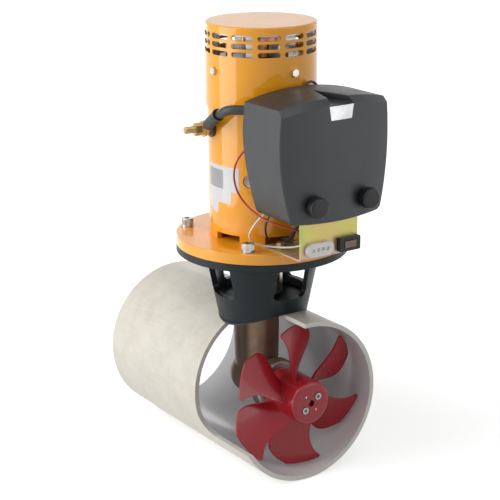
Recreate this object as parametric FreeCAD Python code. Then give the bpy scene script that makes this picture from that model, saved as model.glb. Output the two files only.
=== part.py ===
# Electric bow thruster: a brushed motor on a yellow flange, standing on a cast bracket that clamps a
# bronze tail leg through the wall of a short glass-fibre tunnel, with a bevel gear and a six-blade
# propeller in the tunnel.
# Millimetres. The origin is where the tunnel axis (Y) crosses the motor axis (Z, up).
# The propeller and the control box face -Y.

import FreeCAD, Part
import math
import os

V = FreeCAD.Vector
X_AXIS = V(1, 0, 0)
Y_AXIS = V(0, 1, 0)
Z_AXIS = V(0, 0, 1)
ORIGIN = V(0, 0, 0)

# ---- driving dimensions ------------------------------------------------------------------------

# tunnel
TUNNEL_BORE_R = 92.5
TUNNEL_WALL = 5.5
TUNNEL_FRONT = -93.5
TUNNEL_BACK = 201.0
TUNNEL_LAND = 60.0            # ground down at the free end for gluing
TUNNEL_LAND_DEPTH = 1.0
WINDOW_START_DEG = 3.0        # window edge beside the top of the tunnel
WINDOW_SILL_DROP = 47.5       # sill of the window below the tunnel axis
WINDOW_BACK = 1.0
WINDOW_CORNER_R = 26.0

# bracket between tunnel and motor
BRACKET_HEIGHT = 78.7         # tunnel crown to motor flange
BRACKET_FLANGE_T = 9.5
BRACKET_FOOT_R = 54.0
BRACKET_TOP_R = 69.5
BRACKET_WALL = 7.0
BRACKET_FLOOR_T = 9.0
BRACKET_WINDOW_W = 46.0
BRACKET_LIP_H = 19.0          # tunnel crown to the sill of the four windows
BRACKET_WINDOW_R = 8.0
BRACKET_FILLET_R = 5.0
FLANGE_R = 102.5
GASKET_T = 1.5

# tail leg and gear case
LEG_HALF_X = 24.0
LEG_HALF_Y = 30.0
LEG_CENTRE_Y = 13.5
LEG_CLEARANCE = 0.6
LEG_WAIST = 0.93              # section at the gear case against the one at the tunnel
CASE_R = 26.0
CASE_REAR_CENTRE = 25.0
CASE_FRONT = -28.0
CASE_RIM_R = 33.0
CASE_RIM_T = 6.0
CASE_BORE_R = 22.0
NECK_R = 11.0
NECK_RISE = 3.5
TAIL_BOLT_PLACES = ((16.2, 5.0), (11.0, 27.0))     # across and along the tunnel, both sides
TAIL_BOLT_R = 3.0
TAIL_BOLT_DEPTH = 16.0

# bevel gears
MODULE = 2.2
PINION_TEETH = 12
GEAR_TEETH = 17
GEAR_FACE = 7.5
PRESSURE_DEG = 25.0
ADDENDUM = 0.85               # in modules
DEDENDUM = 1.15               # in modules
BACKLASH = 0.24               # total thinning of a tooth at its large end

# shafts, bearings, seals
RUNNING = 0.03                # radial clearance of a shaft in its bearing or seal
DRIVE_SHAFT_R = 6.0
DRIVE_BEARING_R = 14.0
DRIVE_BEARING_W = 8.0
PROP_SHAFT_R = 7.5
PROP_SHAFT_TAIL_R = 6.0
PROP_BEARING_R = 16.0
PROP_BEARING_W = 9.0
SEAL_R = 12.5
SEAL_W = 5.0
PROP_SEAL_W = 4.0
DRIVE_SEAL_R = 9.0
DRIVE_FLANGE_R = 17.0
DRIVE_FLANGE_T = 6.0

# anode ring and propeller
ANODE_R = 31.0
ANODE_T = 5.0
CAP_FLANGE_T = 3.0
HUB_GAP = 1.5
HUB_R = 26.5
HUB_FRONT = -99.5
HUB_FACE_T = 7.5
HUB_EDGE_R = 4.5
BLADE_COUNT = 6
BLADE_TIP_R = 88.5
BLADE_PITCH = 190.0           # advance per turn
BLADE_ROOT_T = 5.5
BLADE_TIP_T = 2.4
# blade outline seen along the shaft, in shares of the tip radius: x across, z out along the blade
LEADING_EDGE = (
    (-0.10, 0.17), (-0.156, 0.384), (-0.156, 0.542), (-0.176, 0.678), (-0.226, 0.802), (-0.307, 0.899))
TIP_CORNER = (-0.320, 0.933)
TIP_START = (-0.290, 0.957)
TIP_CROWN = -0.07
TRAILING_EDGE = (
    (0.136, 0.9907), (0.209, 0.932), (0.288, 0.847), (0.334, 0.746), (0.311, 0.633), (0.226, 0.486),
    (0.136, 0.350), (0.045, 0.17))
# heights of the blade's sections, in shares of the tip radius, with the span of each
BLADE_SECTIONS = (
    (0.17, -0.16, 0.11), (0.34, -0.20, 0.18), (0.50, -0.20, 0.29), (0.64, -0.21, 0.37),
    (0.78, -0.27, 0.39), (0.90, -0.37, 0.33), (1.03, -0.40, 0.24))
BLADE_MIDDLE_DEG = 76.0
BLADE_MIDDLE_Y = -60.0
BLADE_EDGE_T = 1.8
HUB_SCREW_PCR = 11.5
HUB_SCREW_R = 2.5
HUB_SCREW_DEG = 38.0
DOWEL_R = 1.5

# jaw coupling
COUPLING_R = 24.0
COUPLING_HUB_H = 15.0
COUPLING_JAW_H = 10.0
COUPLING_GAP = 0.2
JAW_COUNT = 3
JAW_INNER_R = 11.0
JAW_HALF_DEG = 21.0
LOBE_HALF_DEG = 8.8

# motor
MOTOR_FLANGE_T = 12.2
MOTOR_R = 62.5
YOKE_WALL = 6.5
YOKE_LENGTH = 203.0
VENT_COUNT = 6
VENT_DEG = 32.0
VENT_FIRST_DEG = 194.5
VENT_H = 8.6
POLE_COUNT = 4
AIR_GAP = 1.0
ARMATURE_R = 43.0
CORE_START = 40.0             # heights above the motor flange
CORE_LENGTH = 110.0
WINDING_LENGTH = 26.0
COMMUTATOR_R = 22.0
COMMUTATOR_LENGTH = 34.0
MOTOR_SHAFT_R = 10.0
LOWER_BEARING_R = 23.5
LOWER_BEARING_W = 10.0
UPPER_SHAFT_R = 7.5
UPPER_BEARING_R = 17.5
UPPER_BEARING_W = 9.0
END_BRACKET_H = 41.0
CAP_T = 1.9
CAP_OVERLAP = 49.0            # length of the cap that hugs the yoke
CAP_HEADROOM = 6.1            # end bracket to the top of the cap
CAP_SLOTS = 13
CAP_ROWS = 3
SLOT_LENGTH = 26.0
SLOT_H = 6.0
SLOT_PITCH = 9.4
SLOT_TOP_DROP = 12.0
SLOT_FIRST_DEG = 243.4
CAP_SCREW_EDGE = 4.9          # line of the cap screws below the end of the yoke
END_PLATE_T = 5.0
RING_INNER_R = 46.0
BRUSH_HALF_W = 5.5
BRUSH_H = 14.0
PEEP_HOLE_R = 7.0
PEEP_HOLE_Z = 74.0
PEEP_HOLE_DEG = 221.5

# terminal stud on the motor
STUD_R = 4.0
STUD_DEG = 170.0
STUD_DROP = 24.0              # stud below the lower edge of the cap
STUD_REACH = 97.0
INSULATOR_R = 7.0
INSULATOR_FLANGE_R = 10.5
INSULATOR_FLANGE_T = 3.0
LUG_GAP = 8.0                 # motor to the cable lug
LUG_T = 2.5
LUG_RING_R = 9.0
LUG_TONGUE_W = 13.0
LUG_BARREL_START = 12.0
LUG_BARREL_LENGTH = 12.0
WASHER_R = 9.5
WASHER_T = 1.6
SPRING_WASHER_R = 7.2
SPRING_WASHER_T = 2.2
NUT_H = 8.0
NUT_FLATS = 13.0

# fasteners
FLANGE_BOLT_EDGE = 11.5       # bolt centres inside the rim of the flange
FLANGE_BOLT_R = 4.0
BOLT_HOLE_PLAY = 0.5
BOLT_HEAD_R = 6.9
BOLT_HEAD_H = 9.0
BOLT_KEY = 6.0
BOLT_WASHER_R = 7.6
BOLT_WASHER_T = 1.6
CAP_SCREW_R = 2.5
PLATE_SCREW_R = 2.5
PRESS_NUT_R = 5.0

# control plate and what it carries
PLATE_T = 2.0
PLATE_HALF_W = 40.0
EAR_HALF_W = 46.0
PLATE_FRONT = -131.0
PLATE_HEIGHT = 142.0
EAR_START = 55.0
BEND_R = 1.5
FOOT_BACK = -58.0
CONNECTOR_X = (-34.0, 3.5)
CONNECTOR_Z = (3.8, 19.2)
CONNECTOR_D = 4.5
FUSE_HOLDER_X = (10.5, 39.5)
FUSE_HOLDER_Z = (3.7, 19.7)
FUSE_HOLDER_D = 6.5
FUSE_FLOOR = 3.0
FUSE_HALF_W = 8.0
FUSE_HALF_H = 4.0
FUSE_BLADE_X = 4.8
FUSE_PLAY = 0.3
CONTACTOR_HALF_W = 31.0
CONTACTOR_D = 36.0
CONTACTOR_Z = (78.0, 146.0)

# cover over the contactor
COVER_WALL = 3.0
COVER_TOP_HALF = 71.5
COVER_MID_HALF = 74.4
COVER_BOTTOM_HALF = 61.5
COVER_TOP = 184.0             # heights above the motor flange
COVER_SHOULDER = 175.0
COVER_MID = 133.0
COVER_BOTTOM_CORNER = 48.5
COVER_BOTTOM = 46.0
COVER_CORNER_R = 8.0
COVER_BEVEL = 7.0             # along the top of the face
COVER_SIDE_BEVEL = 1.5
COVER_EDGE = -141.0
COVER_BULGE = 11.0
COVER_BACK = -70.5
COVER_BACK_LOW = -79.5
BADGE_T = 1.2
KNOB_X = 35.7
KNOB_Z = 67.6
KNOB_R = 12.0
KNOB_SCREW_R = 3.0
SLIDE_PLAY = 0.06

# cables
POWER_CABLE_R = 5.5
SLEEVE_R = 6.8
WIRE_R = 1.1
HARNESS_R = 2.8
LEAD_R = 1.5
SLEEVE_LENGTH = 31.5
CABLE_BEND = 56.0             # straight length of the power cable from its lug

# ---- places that follow ------------------------------------------------------------------------

tunnel_r = TUNNEL_BORE_R + TUNNEL_WALL
saddle_r = tunnel_r + GASKET_T
bracket_top = tunnel_r + BRACKET_HEIGHT
bracket_flange_z = bracket_top - BRACKET_FLANGE_T
bracket_floor = saddle_r + BRACKET_FLOOR_T
deck = bracket_top + MOTOR_FLANGE_T
flange_bolt_pcr = FLANGE_R - FLANGE_BOLT_EDGE
yoke_bore = MOTOR_R - YOKE_WALL
yoke_top = deck + YOKE_LENGTH
cap_bottom = yoke_top - CAP_OVERLAP
cap_r = MOTOR_R + 0.1 + CAP_T
core_z = deck + CORE_START
core_top = core_z + CORE_LENGTH
end_bracket_top = yoke_top + END_BRACKET_H
cap_top = end_bracket_top + CAP_HEADROOM
upper_bearing_z = end_bracket_top - UPPER_BEARING_W
commutator_top = upper_bearing_z - 3.0
commutator_z = commutator_top - COMMUTATOR_LENGTH
lower_bearing_z = bracket_top + 1.0
neck_top = bracket_floor + NECK_RISE

pinion_pitch_r = MODULE * PINION_TEETH / 2
gear_pitch_r = MODULE * GEAR_TEETH / 2
cone_length = math.hypot(pinion_pitch_r, gear_pitch_r)
pinion_cone = math.atan2(pinion_pitch_r, gear_pitch_r)
gear_cone = math.pi / 2 - pinion_cone
pinion_tip_r = pinion_pitch_r + ADDENDUM * MODULE * math.cos(pinion_cone)
pinion_back = gear_pitch_r + 7.3
gear_back = pinion_pitch_r + 8.2
pinion_bore_r = pinion_tip_r + 1.5
bearing_low_z = pinion_back + 0.6
bearing_top_z = bearing_low_z + 38.0
neck_hole_r = NECK_R + 0.2

cap_flange_front = CASE_FRONT - CAP_FLANGE_T
prop_bearing_back = -(gear_back + 0.5)
prop_bearing_front = prop_bearing_back - PROP_BEARING_W
anode_front = cap_flange_front - ANODE_T
seal_front = anode_front - 0.5
hub_back = seal_front - HUB_GAP
drive_flange_front = HUB_FRONT + HUB_FACE_T
drive_flange_back = drive_flange_front + DRIVE_FLANGE_T
tail_bearing_front = 13.0

plate_back = PLATE_FRONT + PLATE_T
cover_front = COVER_EDGE - COVER_BULGE
coupling_low_z = neck_top + 2.0
spider_z = coupling_low_z + COUPLING_HUB_H
coupling_high_z = spider_z + COUPLING_JAW_H
brush_z = yoke_top + END_PLATE_T + 4.0
stud_z = cap_bottom - STUD_DROP
cap_screw_z = yoke_top - CAP_SCREW_EDGE
lug_r = MOTOR_R + LUG_GAP
knob_z = deck + KNOB_Z
cover_arc_r = (COVER_MID_HALF ** 2 + COVER_BULGE ** 2) / (2 * COVER_BULGE)
knob_seat = cover_front + cover_arc_r - math.sqrt(cover_arc_r ** 2 - KNOB_X ** 2)

# ---- helpers -----------------------------------------------------------------------------------


def place(plane, u, v, w=0.0):
    """A point of a flat drawing in space: XY, XZ or YZ, with w off the plane."""
    if plane == "XY":
        return V(u, v, w)
    if plane == "XZ":
        return V(u, w, v)
    return V(w, u, v)


def outline(plane, items, w=0.0):
    """Closed face from corner points; an item of two points is an arc through the first to the second."""
    corners = []
    for item in items:
        if isinstance(item[0], tuple):
            corners.append((place(plane, *item[1], w), place(plane, *item[0], w)))
        else:
            corners.append((place(plane, *item, w), None))
    edges = []
    for k, (point, through) in enumerate(corners):
        start = corners[k - 1][0]
        if start.distanceToPoint(point) < 1e-6:
            continue
        if through is None:
            edges.append(Part.LineSegment(start, point).toShape())
        else:
            edges.append(Part.Arc(start, through, point).toShape())
    return Part.Face(Part.Wire(edges))


def lathe_z(items):
    """Solid turned about Z from a drawing in (radius, z)."""
    return outline("XZ", items).revolve(ORIGIN, Z_AXIS, 360)


def lathe_y(items):
    """Solid turned about Y from a drawing in (radius, y)."""
    return outline("XY", items).revolve(ORIGIN, Y_AXIS, 360)


def block(x0, x1, y0, y1, z0, z1):
    return Part.makeBox(x1 - x0, y1 - y0, z1 - z0, V(x0, y0, z0))


def rod(r, start, end):
    axis = end - start
    return Part.makeCylinder(r, axis.Length, start, axis)


def rod_z(r, z0, z1, x=0.0, y=0.0):
    return rod(r, V(x, y, z0), V(x, y, z1))


def rod_y(r, y0, y1, x=0.0, z=0.0):
    return rod(r, V(x, y0, z), V(x, y1, z))


def ring_z(outer, inner, z0, z1, x=0.0, y=0.0):
    return rod_z(outer, z0, z1, x, y).cut(rod_z(inner, z0 - 1, z1 + 1, x, y))


def ring_y(outer, inner, y0, y1, x=0.0, z=0.0):
    return rod_y(outer, y0, y1, x, z).cut(rod_y(inner, y0 - 1, y1 + 1, x, z))


def turned(shape, degrees, axis=Z_AXIS, centre=ORIGIN):
    copy = shape.copy()
    copy.rotate(centre, axis, degrees)
    return copy


def pattern(shape, count, first=0.0, axis=Z_AXIS):
    return [turned(shape, first + k * 360.0 / count, axis) for k in range(count)]


def sector(r0, r1, z0, z1, half_deg, middle_deg=0.0):
    """Part of a ring, from radius r0 to r1, half_deg to each side of middle_deg."""
    face = outline("XZ", [(r0, z0), (r1, z0), (r1, z1), (r0, z1)])
    solid = face.revolve(ORIGIN, Z_AXIS, 2 * half_deg)
    return turned(solid, middle_deg - half_deg)


def oval(half_x, half_y, centre_y, z):
    """Wire of a slot shape, long along Y."""
    reach = half_y - half_x
    front = centre_y - reach
    back = centre_y + reach
    edges = [
        Part.LineSegment(V(half_x, front, z), V(half_x, back, z)).toShape(),
        Part.Arc(V(half_x, back, z), V(0, back + half_x, z), V(-half_x, back, z)).toShape(),
        Part.LineSegment(V(-half_x, back, z), V(-half_x, front, z)).toShape(),
        Part.Arc(V(-half_x, front, z), V(0, front - half_x, z), V(half_x, front, z)).toShape(),
    ]
    return Part.Wire(edges)


def slot_prism(plane, u0, u1, v0, v1, w0, w1):
    """Prism with half-round ends, long along u."""
    r = (v1 - v0) / 2
    mid = (v0 + v1) / 2
    face = outline(plane, [
        (u0 + r, v0), (u1 - r, v0), ((u1, mid), (u1 - r, v1)),
        (u0 + r, v1), ((u0, mid), (u0 + r, v0))], w0)
    return face.extrude(place(plane, 0, 0, w1 - w0))


def rounded_prism(plane, u0, u1, v0, v1, r, w0, w1):
    """Prism of a rectangle with rounded corners."""
    k = r * (1 - math.sqrt(0.5))
    face = outline(plane, [
        (u0 + r, v0), (u1 - r, v0), ((u1 - k, v0 + k), (u1, v0 + r)),
        (u1, v1 - r), ((u1 - k, v1 - k), (u1 - r, v1)),
        (u0 + r, v1), ((u0 + k, v1 - k), (u0, v1 - r)),
        (u0, v0 + r), ((u0 + k, v0 + k), (u0 + r, v0))], w0)
    return face.extrude(place(plane, 0, 0, w1 - w0))


def hexagon(flats, start, end, turn_deg=0.0):
    """Hexagonal prism with the given width across flats, from start to end."""
    r = flats / math.sqrt(3)
    points = [V(r * math.cos(math.radians(60 * k + turn_deg)),
                r * math.sin(math.radians(60 * k + turn_deg)), 0) for k in range(7)]
    prism = Part.Face(Part.makePolygon(points)).extrude(V(0, 0, (end - start).Length))
    prism.Placement = FreeCAD.Placement(start, FreeCAD.Rotation(Z_AXIS, end - start))
    return prism


def socket_screw(seat, direction, r, length, head_r, head_h, key):
    """Cylinder-head screw: seat is under the head, direction points from the head down the shank."""
    shank = rod(r, seat, seat + direction * length)
    head = rod(head_r, seat - direction * head_h, seat)
    socket = hexagon(key, seat - direction * head_h, seat - direction * (head_h * 0.45))
    return head.fuse(shank).cut(socket)


def hex_screw(seat, direction, r, length, flats, head_h):
    shank = rod(r, seat, seat + direction * length)
    return hexagon(flats, seat - direction * head_h, seat).fuse(shank)


def polar(radius, degrees, z=0.0):
    angle = math.radians(degrees)
    return V(radius * math.cos(angle), radius * math.sin(angle), z)


def cord_path(name, points):
    """Straight runs joined by tangent arcs; each arc takes 0.45 of its shorter run."""
    edges = []
    start = points[0]
    radii = []
    for before, corner, after in zip(points, points[1:], points[2:]):
        into = (corner - before).normalize()
        out = (after - corner).normalize()
        half_turn = into.getAngle(out) / 2
        reach = 0.45 * min((corner - before).Length, (after - corner).Length)
        radius = reach / math.tan(half_turn)
        radii.append(radius)
        begin = corner - into * reach
        end = corner + out * reach
        inward = (out - into).normalize()
        middle = corner + inward * (radius / math.cos(half_turn) - radius)
        edges.append(Part.LineSegment(start, begin).toShape())
        edges.append(Part.Arc(begin, middle, end).toShape())
        start = end
    edges.append(Part.LineSegment(start, points[-1]).toShape())
    path = Part.Wire(edges)
    print(name, "length", round(path.Length, 1), "least radius", round(min(radii), 1))
    return path


def cord(name, points, r):
    """Round cable along the points."""
    path = cord_path(name, points)
    section = Part.Wire(Part.Circle(points[0], points[1] - points[0], r).toShape())
    solid = path.makePipeShell([section], True, False)
    print(name, "volume over section times length", round(solid.Volume / (math.pi * r * r * path.Length), 4))
    return solid


def export(name, shapes):
    solids = []
    for shape in shapes if isinstance(shapes, list) else [shapes]:
        solids += shape.Solids
    result = solids[0] if len(solids) == 1 else Part.makeCompound(solids)
    result.exportStep("parts/" + name + ".step")
    valid = all(s.isValid() for s in solids)
    box = result.BoundBox
    print("%-22s %2d solid %9.0f mm3 %s  x %.1f %.1f  y %.1f %.1f  z %.1f %.1f" % (
        name, len(solids), sum(s.Volume for s in solids), "ok " if valid else "BAD",
        box.XMin, box.XMax, box.YMin, box.YMax, box.ZMin, box.ZMax))


# ---- tunnel and bracket ------------------------------------------------------------------------


def tail_bolt_places():
    return [V(side * x, y, 0) for x, y in TAIL_BOLT_PLACES for side in (-1, 1)]


def flange_bolt_places():
    return [polar(flange_bolt_pcr, 45 + 90 * k) for k in range(4)]


def leg_prism(extra, z0, z1):
    wire = oval(LEG_HALF_X + extra, LEG_HALF_Y + extra, LEG_CENTRE_Y, z0)
    return Part.Face(wire).extrude(V(0, 0, z1 - z0))


def tunnel():
    wall = ring_y(tunnel_r, TUNNEL_BORE_R, TUNNEL_FRONT, TUNNEL_BACK)
    # display window: a sector of the upper left, then down to a level sill with a round corner
    reach = tunnel_r + 5
    length = WINDOW_BACK - TUNNEL_FRONT + 5
    upper = outline("XZ", [(0, 0), (-reach * math.tan(math.radians(WINDOW_START_DEG)), reach),
                           (-reach, reach), (-reach, 0)], TUNNEL_FRONT - 5).extrude(V(0, length, 0))
    sill = -WINDOW_SILL_DROP
    k = WINDOW_CORNER_R * (1 - math.sqrt(0.5))
    lower = outline("YZ", [
        (TUNNEL_FRONT - 5, 0), (TUNNEL_FRONT - 5, sill), (WINDOW_BACK - WINDOW_CORNER_R, sill),
        ((WINDOW_BACK - k, sill + k), (WINDOW_BACK, sill + WINDOW_CORNER_R)), (WINDOW_BACK, 0)],
        -reach).extrude(V(reach - 5, 0, 0))
    leg_hole = leg_prism(LEG_CLEARANCE, 0, reach)
    land = ring_y(reach, tunnel_r - TUNNEL_LAND_DEPTH, TUNNEL_BACK - TUNNEL_LAND, TUNNEL_BACK + 1)
    return wall.cut([upper, lower, leg_hole, land])


def saddle_gasket():
    sheet = rod_y(saddle_r, -80, 80).cut(rod_y(tunnel_r, -81, 81))
    sheet = sheet.common(rod_z(BRACKET_FOOT_R - 0.5, 0, saddle_r + 5))
    holes = [rod_z(TAIL_BOLT_R + 0.3, 0, saddle_r + 5, p.x, p.y) for p in tail_bolt_places()]
    return sheet.cut(holes + [rod_z(neck_hole_r, 0, saddle_r + 5)])


def mounting_bracket():
    lip_z = tunnel_r + BRACKET_LIP_H
    shoulder = bracket_flange_z
    f = BRACKET_FILLET_R
    k = f * (1 - math.sqrt(0.5))
    slope = (BRACKET_TOP_R - BRACKET_FOOT_R) / (shoulder - (saddle_r - 8))
    foot_z = saddle_r - 40
    foot_r = BRACKET_TOP_R - slope * (shoulder - foot_z)
    under_r = BRACKET_TOP_R - slope * f
    body = lathe_z([
        (0, foot_z), (foot_r, foot_z), (under_r, shoulder - f),
        ((BRACKET_TOP_R + k, shoulder - k), (BRACKET_TOP_R + f, shoulder)),
        (FLANGE_R - 1, shoulder), (FLANGE_R, shoulder + 1), (FLANGE_R, bracket_top), (0, bracket_top)])
    floor_r = foot_r + slope * (bracket_floor - foot_z) - BRACKET_WALL
    roof_r = BRACKET_TOP_R - BRACKET_WALL
    cavity = lathe_z([(0, bracket_floor), (floor_r, bracket_floor), (roof_r, shoulder),
                      (roof_r, bracket_top + 1), (0, bracket_top + 1)])
    half = BRACKET_WINDOW_W / 2
    reach = FLANGE_R
    r = BRACKET_WINDOW_R
    window_x = rounded_prism("YZ", -half, half, lip_z, shoulder + r, r, -reach, reach)
    window_y = rounded_prism("XZ", -half, half, lip_z, shoulder + r, r, -reach, reach)
    windows = window_x.fuse(window_y).common(
        rod_z(FLANGE_R - 1, lip_z - 1, shoulder).cut(ring_z(reach + 9, BRACKET_TOP_R + f + 1, 0, shoulder)))
    cutters = [rod_y(saddle_r, -90, 90), cavity, windows, rod_z(neck_hole_r, 0, bracket_floor + 1)]
    for p in tail_bolt_places():
        cutters.append(rod_z(TAIL_BOLT_R + 0.3, 0, bracket_floor + 1, p.x, p.y))
    for p in flange_bolt_places():
        cutters.append(rod_z(FLANGE_BOLT_R, shoulder - 1, bracket_top + 1, p.x, p.y))
    return body.cut(cutters)


def tail_bolts():
    length = bracket_floor - (tunnel_r - TAIL_BOLT_DEPTH) - 3.0
    return [hex_screw(V(p.x, p.y, bracket_floor), Z_AXIS * -1, TAIL_BOLT_R, length, 10.0, 4.0)
            for p in tail_bolt_places()]


# ---- tail leg and gears ------------------------------------------------------------------------


def tail_piece():
    waist = LEG_WAIST
    top = tunnel_r + 5
    sections = []
    for z, share in ((0, waist), (TUNNEL_BORE_R * 0.35, 0.98), (TUNNEL_BORE_R * 0.6, 1.0), (top, 1.0)):
        sections.append(oval(LEG_HALF_X * share, LEG_HALF_Y * share, LEG_CENTRE_Y, z))
    leg = Part.makeLoft(sections, True, False).common(rod_y(tunnel_r, -90, 90))
    rim_back = CASE_FRONT + CASE_RIM_T
    r = CASE_R
    case = lathe_y([
        (0, CASE_FRONT), (CASE_RIM_R - 1, CASE_FRONT), (CASE_RIM_R, CASE_FRONT + 1), (CASE_RIM_R, rim_back),
        ((r + 2.2, rim_back + 2.8), (r, rim_back + 9)), (r, CASE_REAR_CENTRE),
        ((r * math.sqrt(0.5), CASE_REAR_CENTRE + r * math.sqrt(0.5)), (0, CASE_REAR_CENTRE + r))])
    neck = rod_z(NECK_R, tunnel_r - 10, neck_top)
    body = leg.fuse([case, neck])
    tail_bearing_back = tail_bearing_front + DRIVE_BEARING_W
    drive_bores = [
        rod_z(pinion_bore_r, 0, bearing_low_z),
        rod_z(DRIVE_BEARING_R, 0, bearing_top_z + DRIVE_BEARING_W),
        rod_z(DRIVE_SHAFT_R + 1, 0, neck_top + 1),
        rod_z(DRIVE_SEAL_R, neck_top - SEAL_W - 1, neck_top + 1),
    ]
    case_bores = [
        rod_y(CASE_BORE_R, CASE_FRONT - 1, pinion_pitch_r - 3),
        rod_y(DRIVE_BEARING_R, 0, tail_bearing_back),
    ]
    threads = [rod_z(TAIL_BOLT_R, tunnel_r - TAIL_BOLT_DEPTH, tunnel_r + 5, p.x, p.y)
               for p in tail_bolt_places()]
    return body.cut(drive_bores + case_bores + threads)


def tail_cap():
    """Front cover of the gear case: carries the propeller shaft's front bearing and its seal."""
    inner = prop_bearing_back + 0.2
    seat = prop_bearing_front
    return lathe_y([
        (PROP_BEARING_R, inner), (CASE_BORE_R, inner), (CASE_BORE_R, CASE_FRONT),
        (CASE_RIM_R - 0.8, CASE_FRONT), (CASE_RIM_R - 0.8, cap_flange_front), (20.0, cap_flange_front),
        (20.0, seal_front), (SEAL_R, seal_front), (SEAL_R, seal_front + PROP_SEAL_W),
        (PROP_SHAFT_R + 2, seal_front + PROP_SEAL_W), (PROP_SHAFT_R + 2, seat), (PROP_BEARING_R, seat)])


def anode_ring():
    return lathe_y([
        (20.1, cap_flange_front), (ANODE_R, cap_flange_front), (ANODE_R, anode_front + 1.2),
        (ANODE_R - 1.2, anode_front), (20.1, anode_front)])


def bearing(outer, inner, width):
    """Shielded ball bearing about Z from z = 0, with its ring grooves."""
    g = (outer - inner) * 0.28
    return lathe_z([
        (inner, 0), (inner + g, 0), (inner + g, 0.4), (outer - g, 0.4), (outer - g, 0), (outer, 0),
        (outer, width), (outer - g, width), (outer - g, width - 0.4), (inner + g, width - 0.4),
        (inner + g, width), (inner, width)])


def bearing_on_z(outer, inner, width, z0):
    solid = bearing(outer, inner, width)
    solid.translate(V(0, 0, z0))
    return solid


def bearing_on_y(outer, inner, width, y0):
    solid = turned(bearing(outer, inner, width), -90, X_AXIS)
    solid.translate(V(0, y0, 0))
    return solid


def gear_case_bearings():
    """Two bearings on the propeller shaft and two on the drive shaft."""
    along = [bearing_on_y(PROP_BEARING_R, PROP_SHAFT_R + RUNNING, PROP_BEARING_W, prop_bearing_front),
             bearing_on_y(DRIVE_BEARING_R, PROP_SHAFT_TAIL_R + RUNNING, DRIVE_BEARING_W, tail_bearing_front)]
    upright = [bearing_on_z(DRIVE_BEARING_R, DRIVE_SHAFT_R + RUNNING, DRIVE_BEARING_W, z)
               for z in (bearing_low_z, bearing_top_z)]
    return along + upright


def bearing_spacer():
    return ring_z(DRIVE_BEARING_R, DRIVE_BEARING_R - 2.5, bearing_low_z + DRIVE_BEARING_W, bearing_top_z)


def lip_seal(outer, inner, width):
    """Rubber lip seal about Z from z = 0, lips towards +Z."""
    return lathe_z([
        (inner, 1.0), (inner + 1.0, 0), (outer, 0), (outer, width), (outer - 1.5, width),
        (outer - 1.5, 1.8), (inner + 1.5, 1.8), (inner + 0.9, width - 1.0), (inner, width - 1.5)])


def propeller_seal():
    solid = turned(lip_seal(SEAL_R, PROP_SHAFT_R + RUNNING, PROP_SEAL_W), -90, X_AXIS)
    solid.translate(V(0, seal_front, 0))
    return solid


def drive_seal():
    solid = lip_seal(DRIVE_SEAL_R, DRIVE_SHAFT_R + RUNNING, SEAL_W)
    solid.translate(V(0, 0, neck_top - SEAL_W - 0.5))
    return solid


def tooth(cone, teeth, scale):
    """Planar outline of one bevel tooth at azimuth 0; the cone's apex is at the origin, its axis +Z."""
    pitch_r = MODULE * teeth / 2
    flat_r = pitch_r / math.cos(cone)                # pitch radius of the unrolled back cone
    pressure = math.radians(PRESSURE_DEG)
    base_r = flat_r * math.cos(pressure)
    tip_r = flat_r + ADDENDUM * MODULE
    root_r = flat_r - (DEDENDUM + 0.15) * MODULE
    half_pitch = (math.pi * MODULE / 2 - BACKLASH) / 2 / flat_r

    def flank(radius):
        grip = math.acos(min(1.0, base_r / radius))
        return half_pitch + (math.tan(pressure) - pressure) - (math.tan(grip) - grip)

    start_r = max(base_r, root_r + 0.1)
    radii = [start_r + (tip_r - start_r) * k / 4 for k in range(5)]
    side = [(root_r, flank(start_r) * start_r / root_r * 1.02)]
    side += [(radius, flank(radius)) for radius in radii]
    flat = [(radius, -angle) for radius, angle in side]
    flat += [(radius, angle) for radius, angle in reversed(side)]
    back_apex = cone_length / math.cos(cone)
    facing = V(math.sin(cone), 0, math.cos(cone))
    points = []
    for radius, angle in flat:
        around = angle / math.cos(cone)
        wide = radius * math.cos(cone)
        p = V(wide * math.cos(around), wide * math.sin(around), back_apex - radius * math.sin(cone))
        points.append(p * (scale * cone_length / p.dot(facing)))
    return Part.makePolygon(points + points[:1])


def bevel(cone, teeth, back, bore, hub_r, phase_deg):
    """Bevel gear with its apex at the origin, standing along +Z."""
    inner_scale = (cone_length - GEAR_FACE) / cone_length
    root_flat = MODULE * teeth / 2 / math.cos(cone) - DEDENDUM * MODULE
    root_r = root_flat * math.cos(cone)
    root_z = cone_length / math.cos(cone) - root_flat * math.sin(cone)
    low_r = root_r * inner_scale
    low_z = root_z * inner_scale
    heel_r = root_r - 1.6
    heel_z = root_z + 1.6 / math.tan(cone) * 0.9
    blank = lathe_z([
        (bore, low_z), (low_r, low_z), (root_r, root_z), (heel_r, min(heel_z, back - 0.5)),
        (hub_r, back), (bore, back)])
    one = Part.makeLoft([tooth(cone, teeth, inner_scale), tooth(cone, teeth, 1.0)], True, True)
    gear = blank.fuse(pattern(one, teeth, phase_deg))
    return gear.removeSplitter()


def bevel_pinion():
    return bevel(pinion_cone, PINION_TEETH, pinion_back, DRIVE_SHAFT_R, 9.0, -90.0)


def bevel_gear():
    gap_up = 90 + 180.0 / GEAR_TEETH
    return turned(bevel(gear_cone, GEAR_TEETH, gear_back, PROP_SHAFT_R, 12.5, gap_up), 90, X_AXIS)


def drive_shaft():
    low = (cone_length - GEAR_FACE) * math.cos(pinion_cone) - 1.0
    top = coupling_low_z + COUPLING_HUB_H
    return lathe_z([
        (0, low), (DRIVE_SHAFT_R - 0.6, low), (DRIVE_SHAFT_R, low + 0.6), (DRIVE_SHAFT_R, top), (0, top)])


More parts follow.
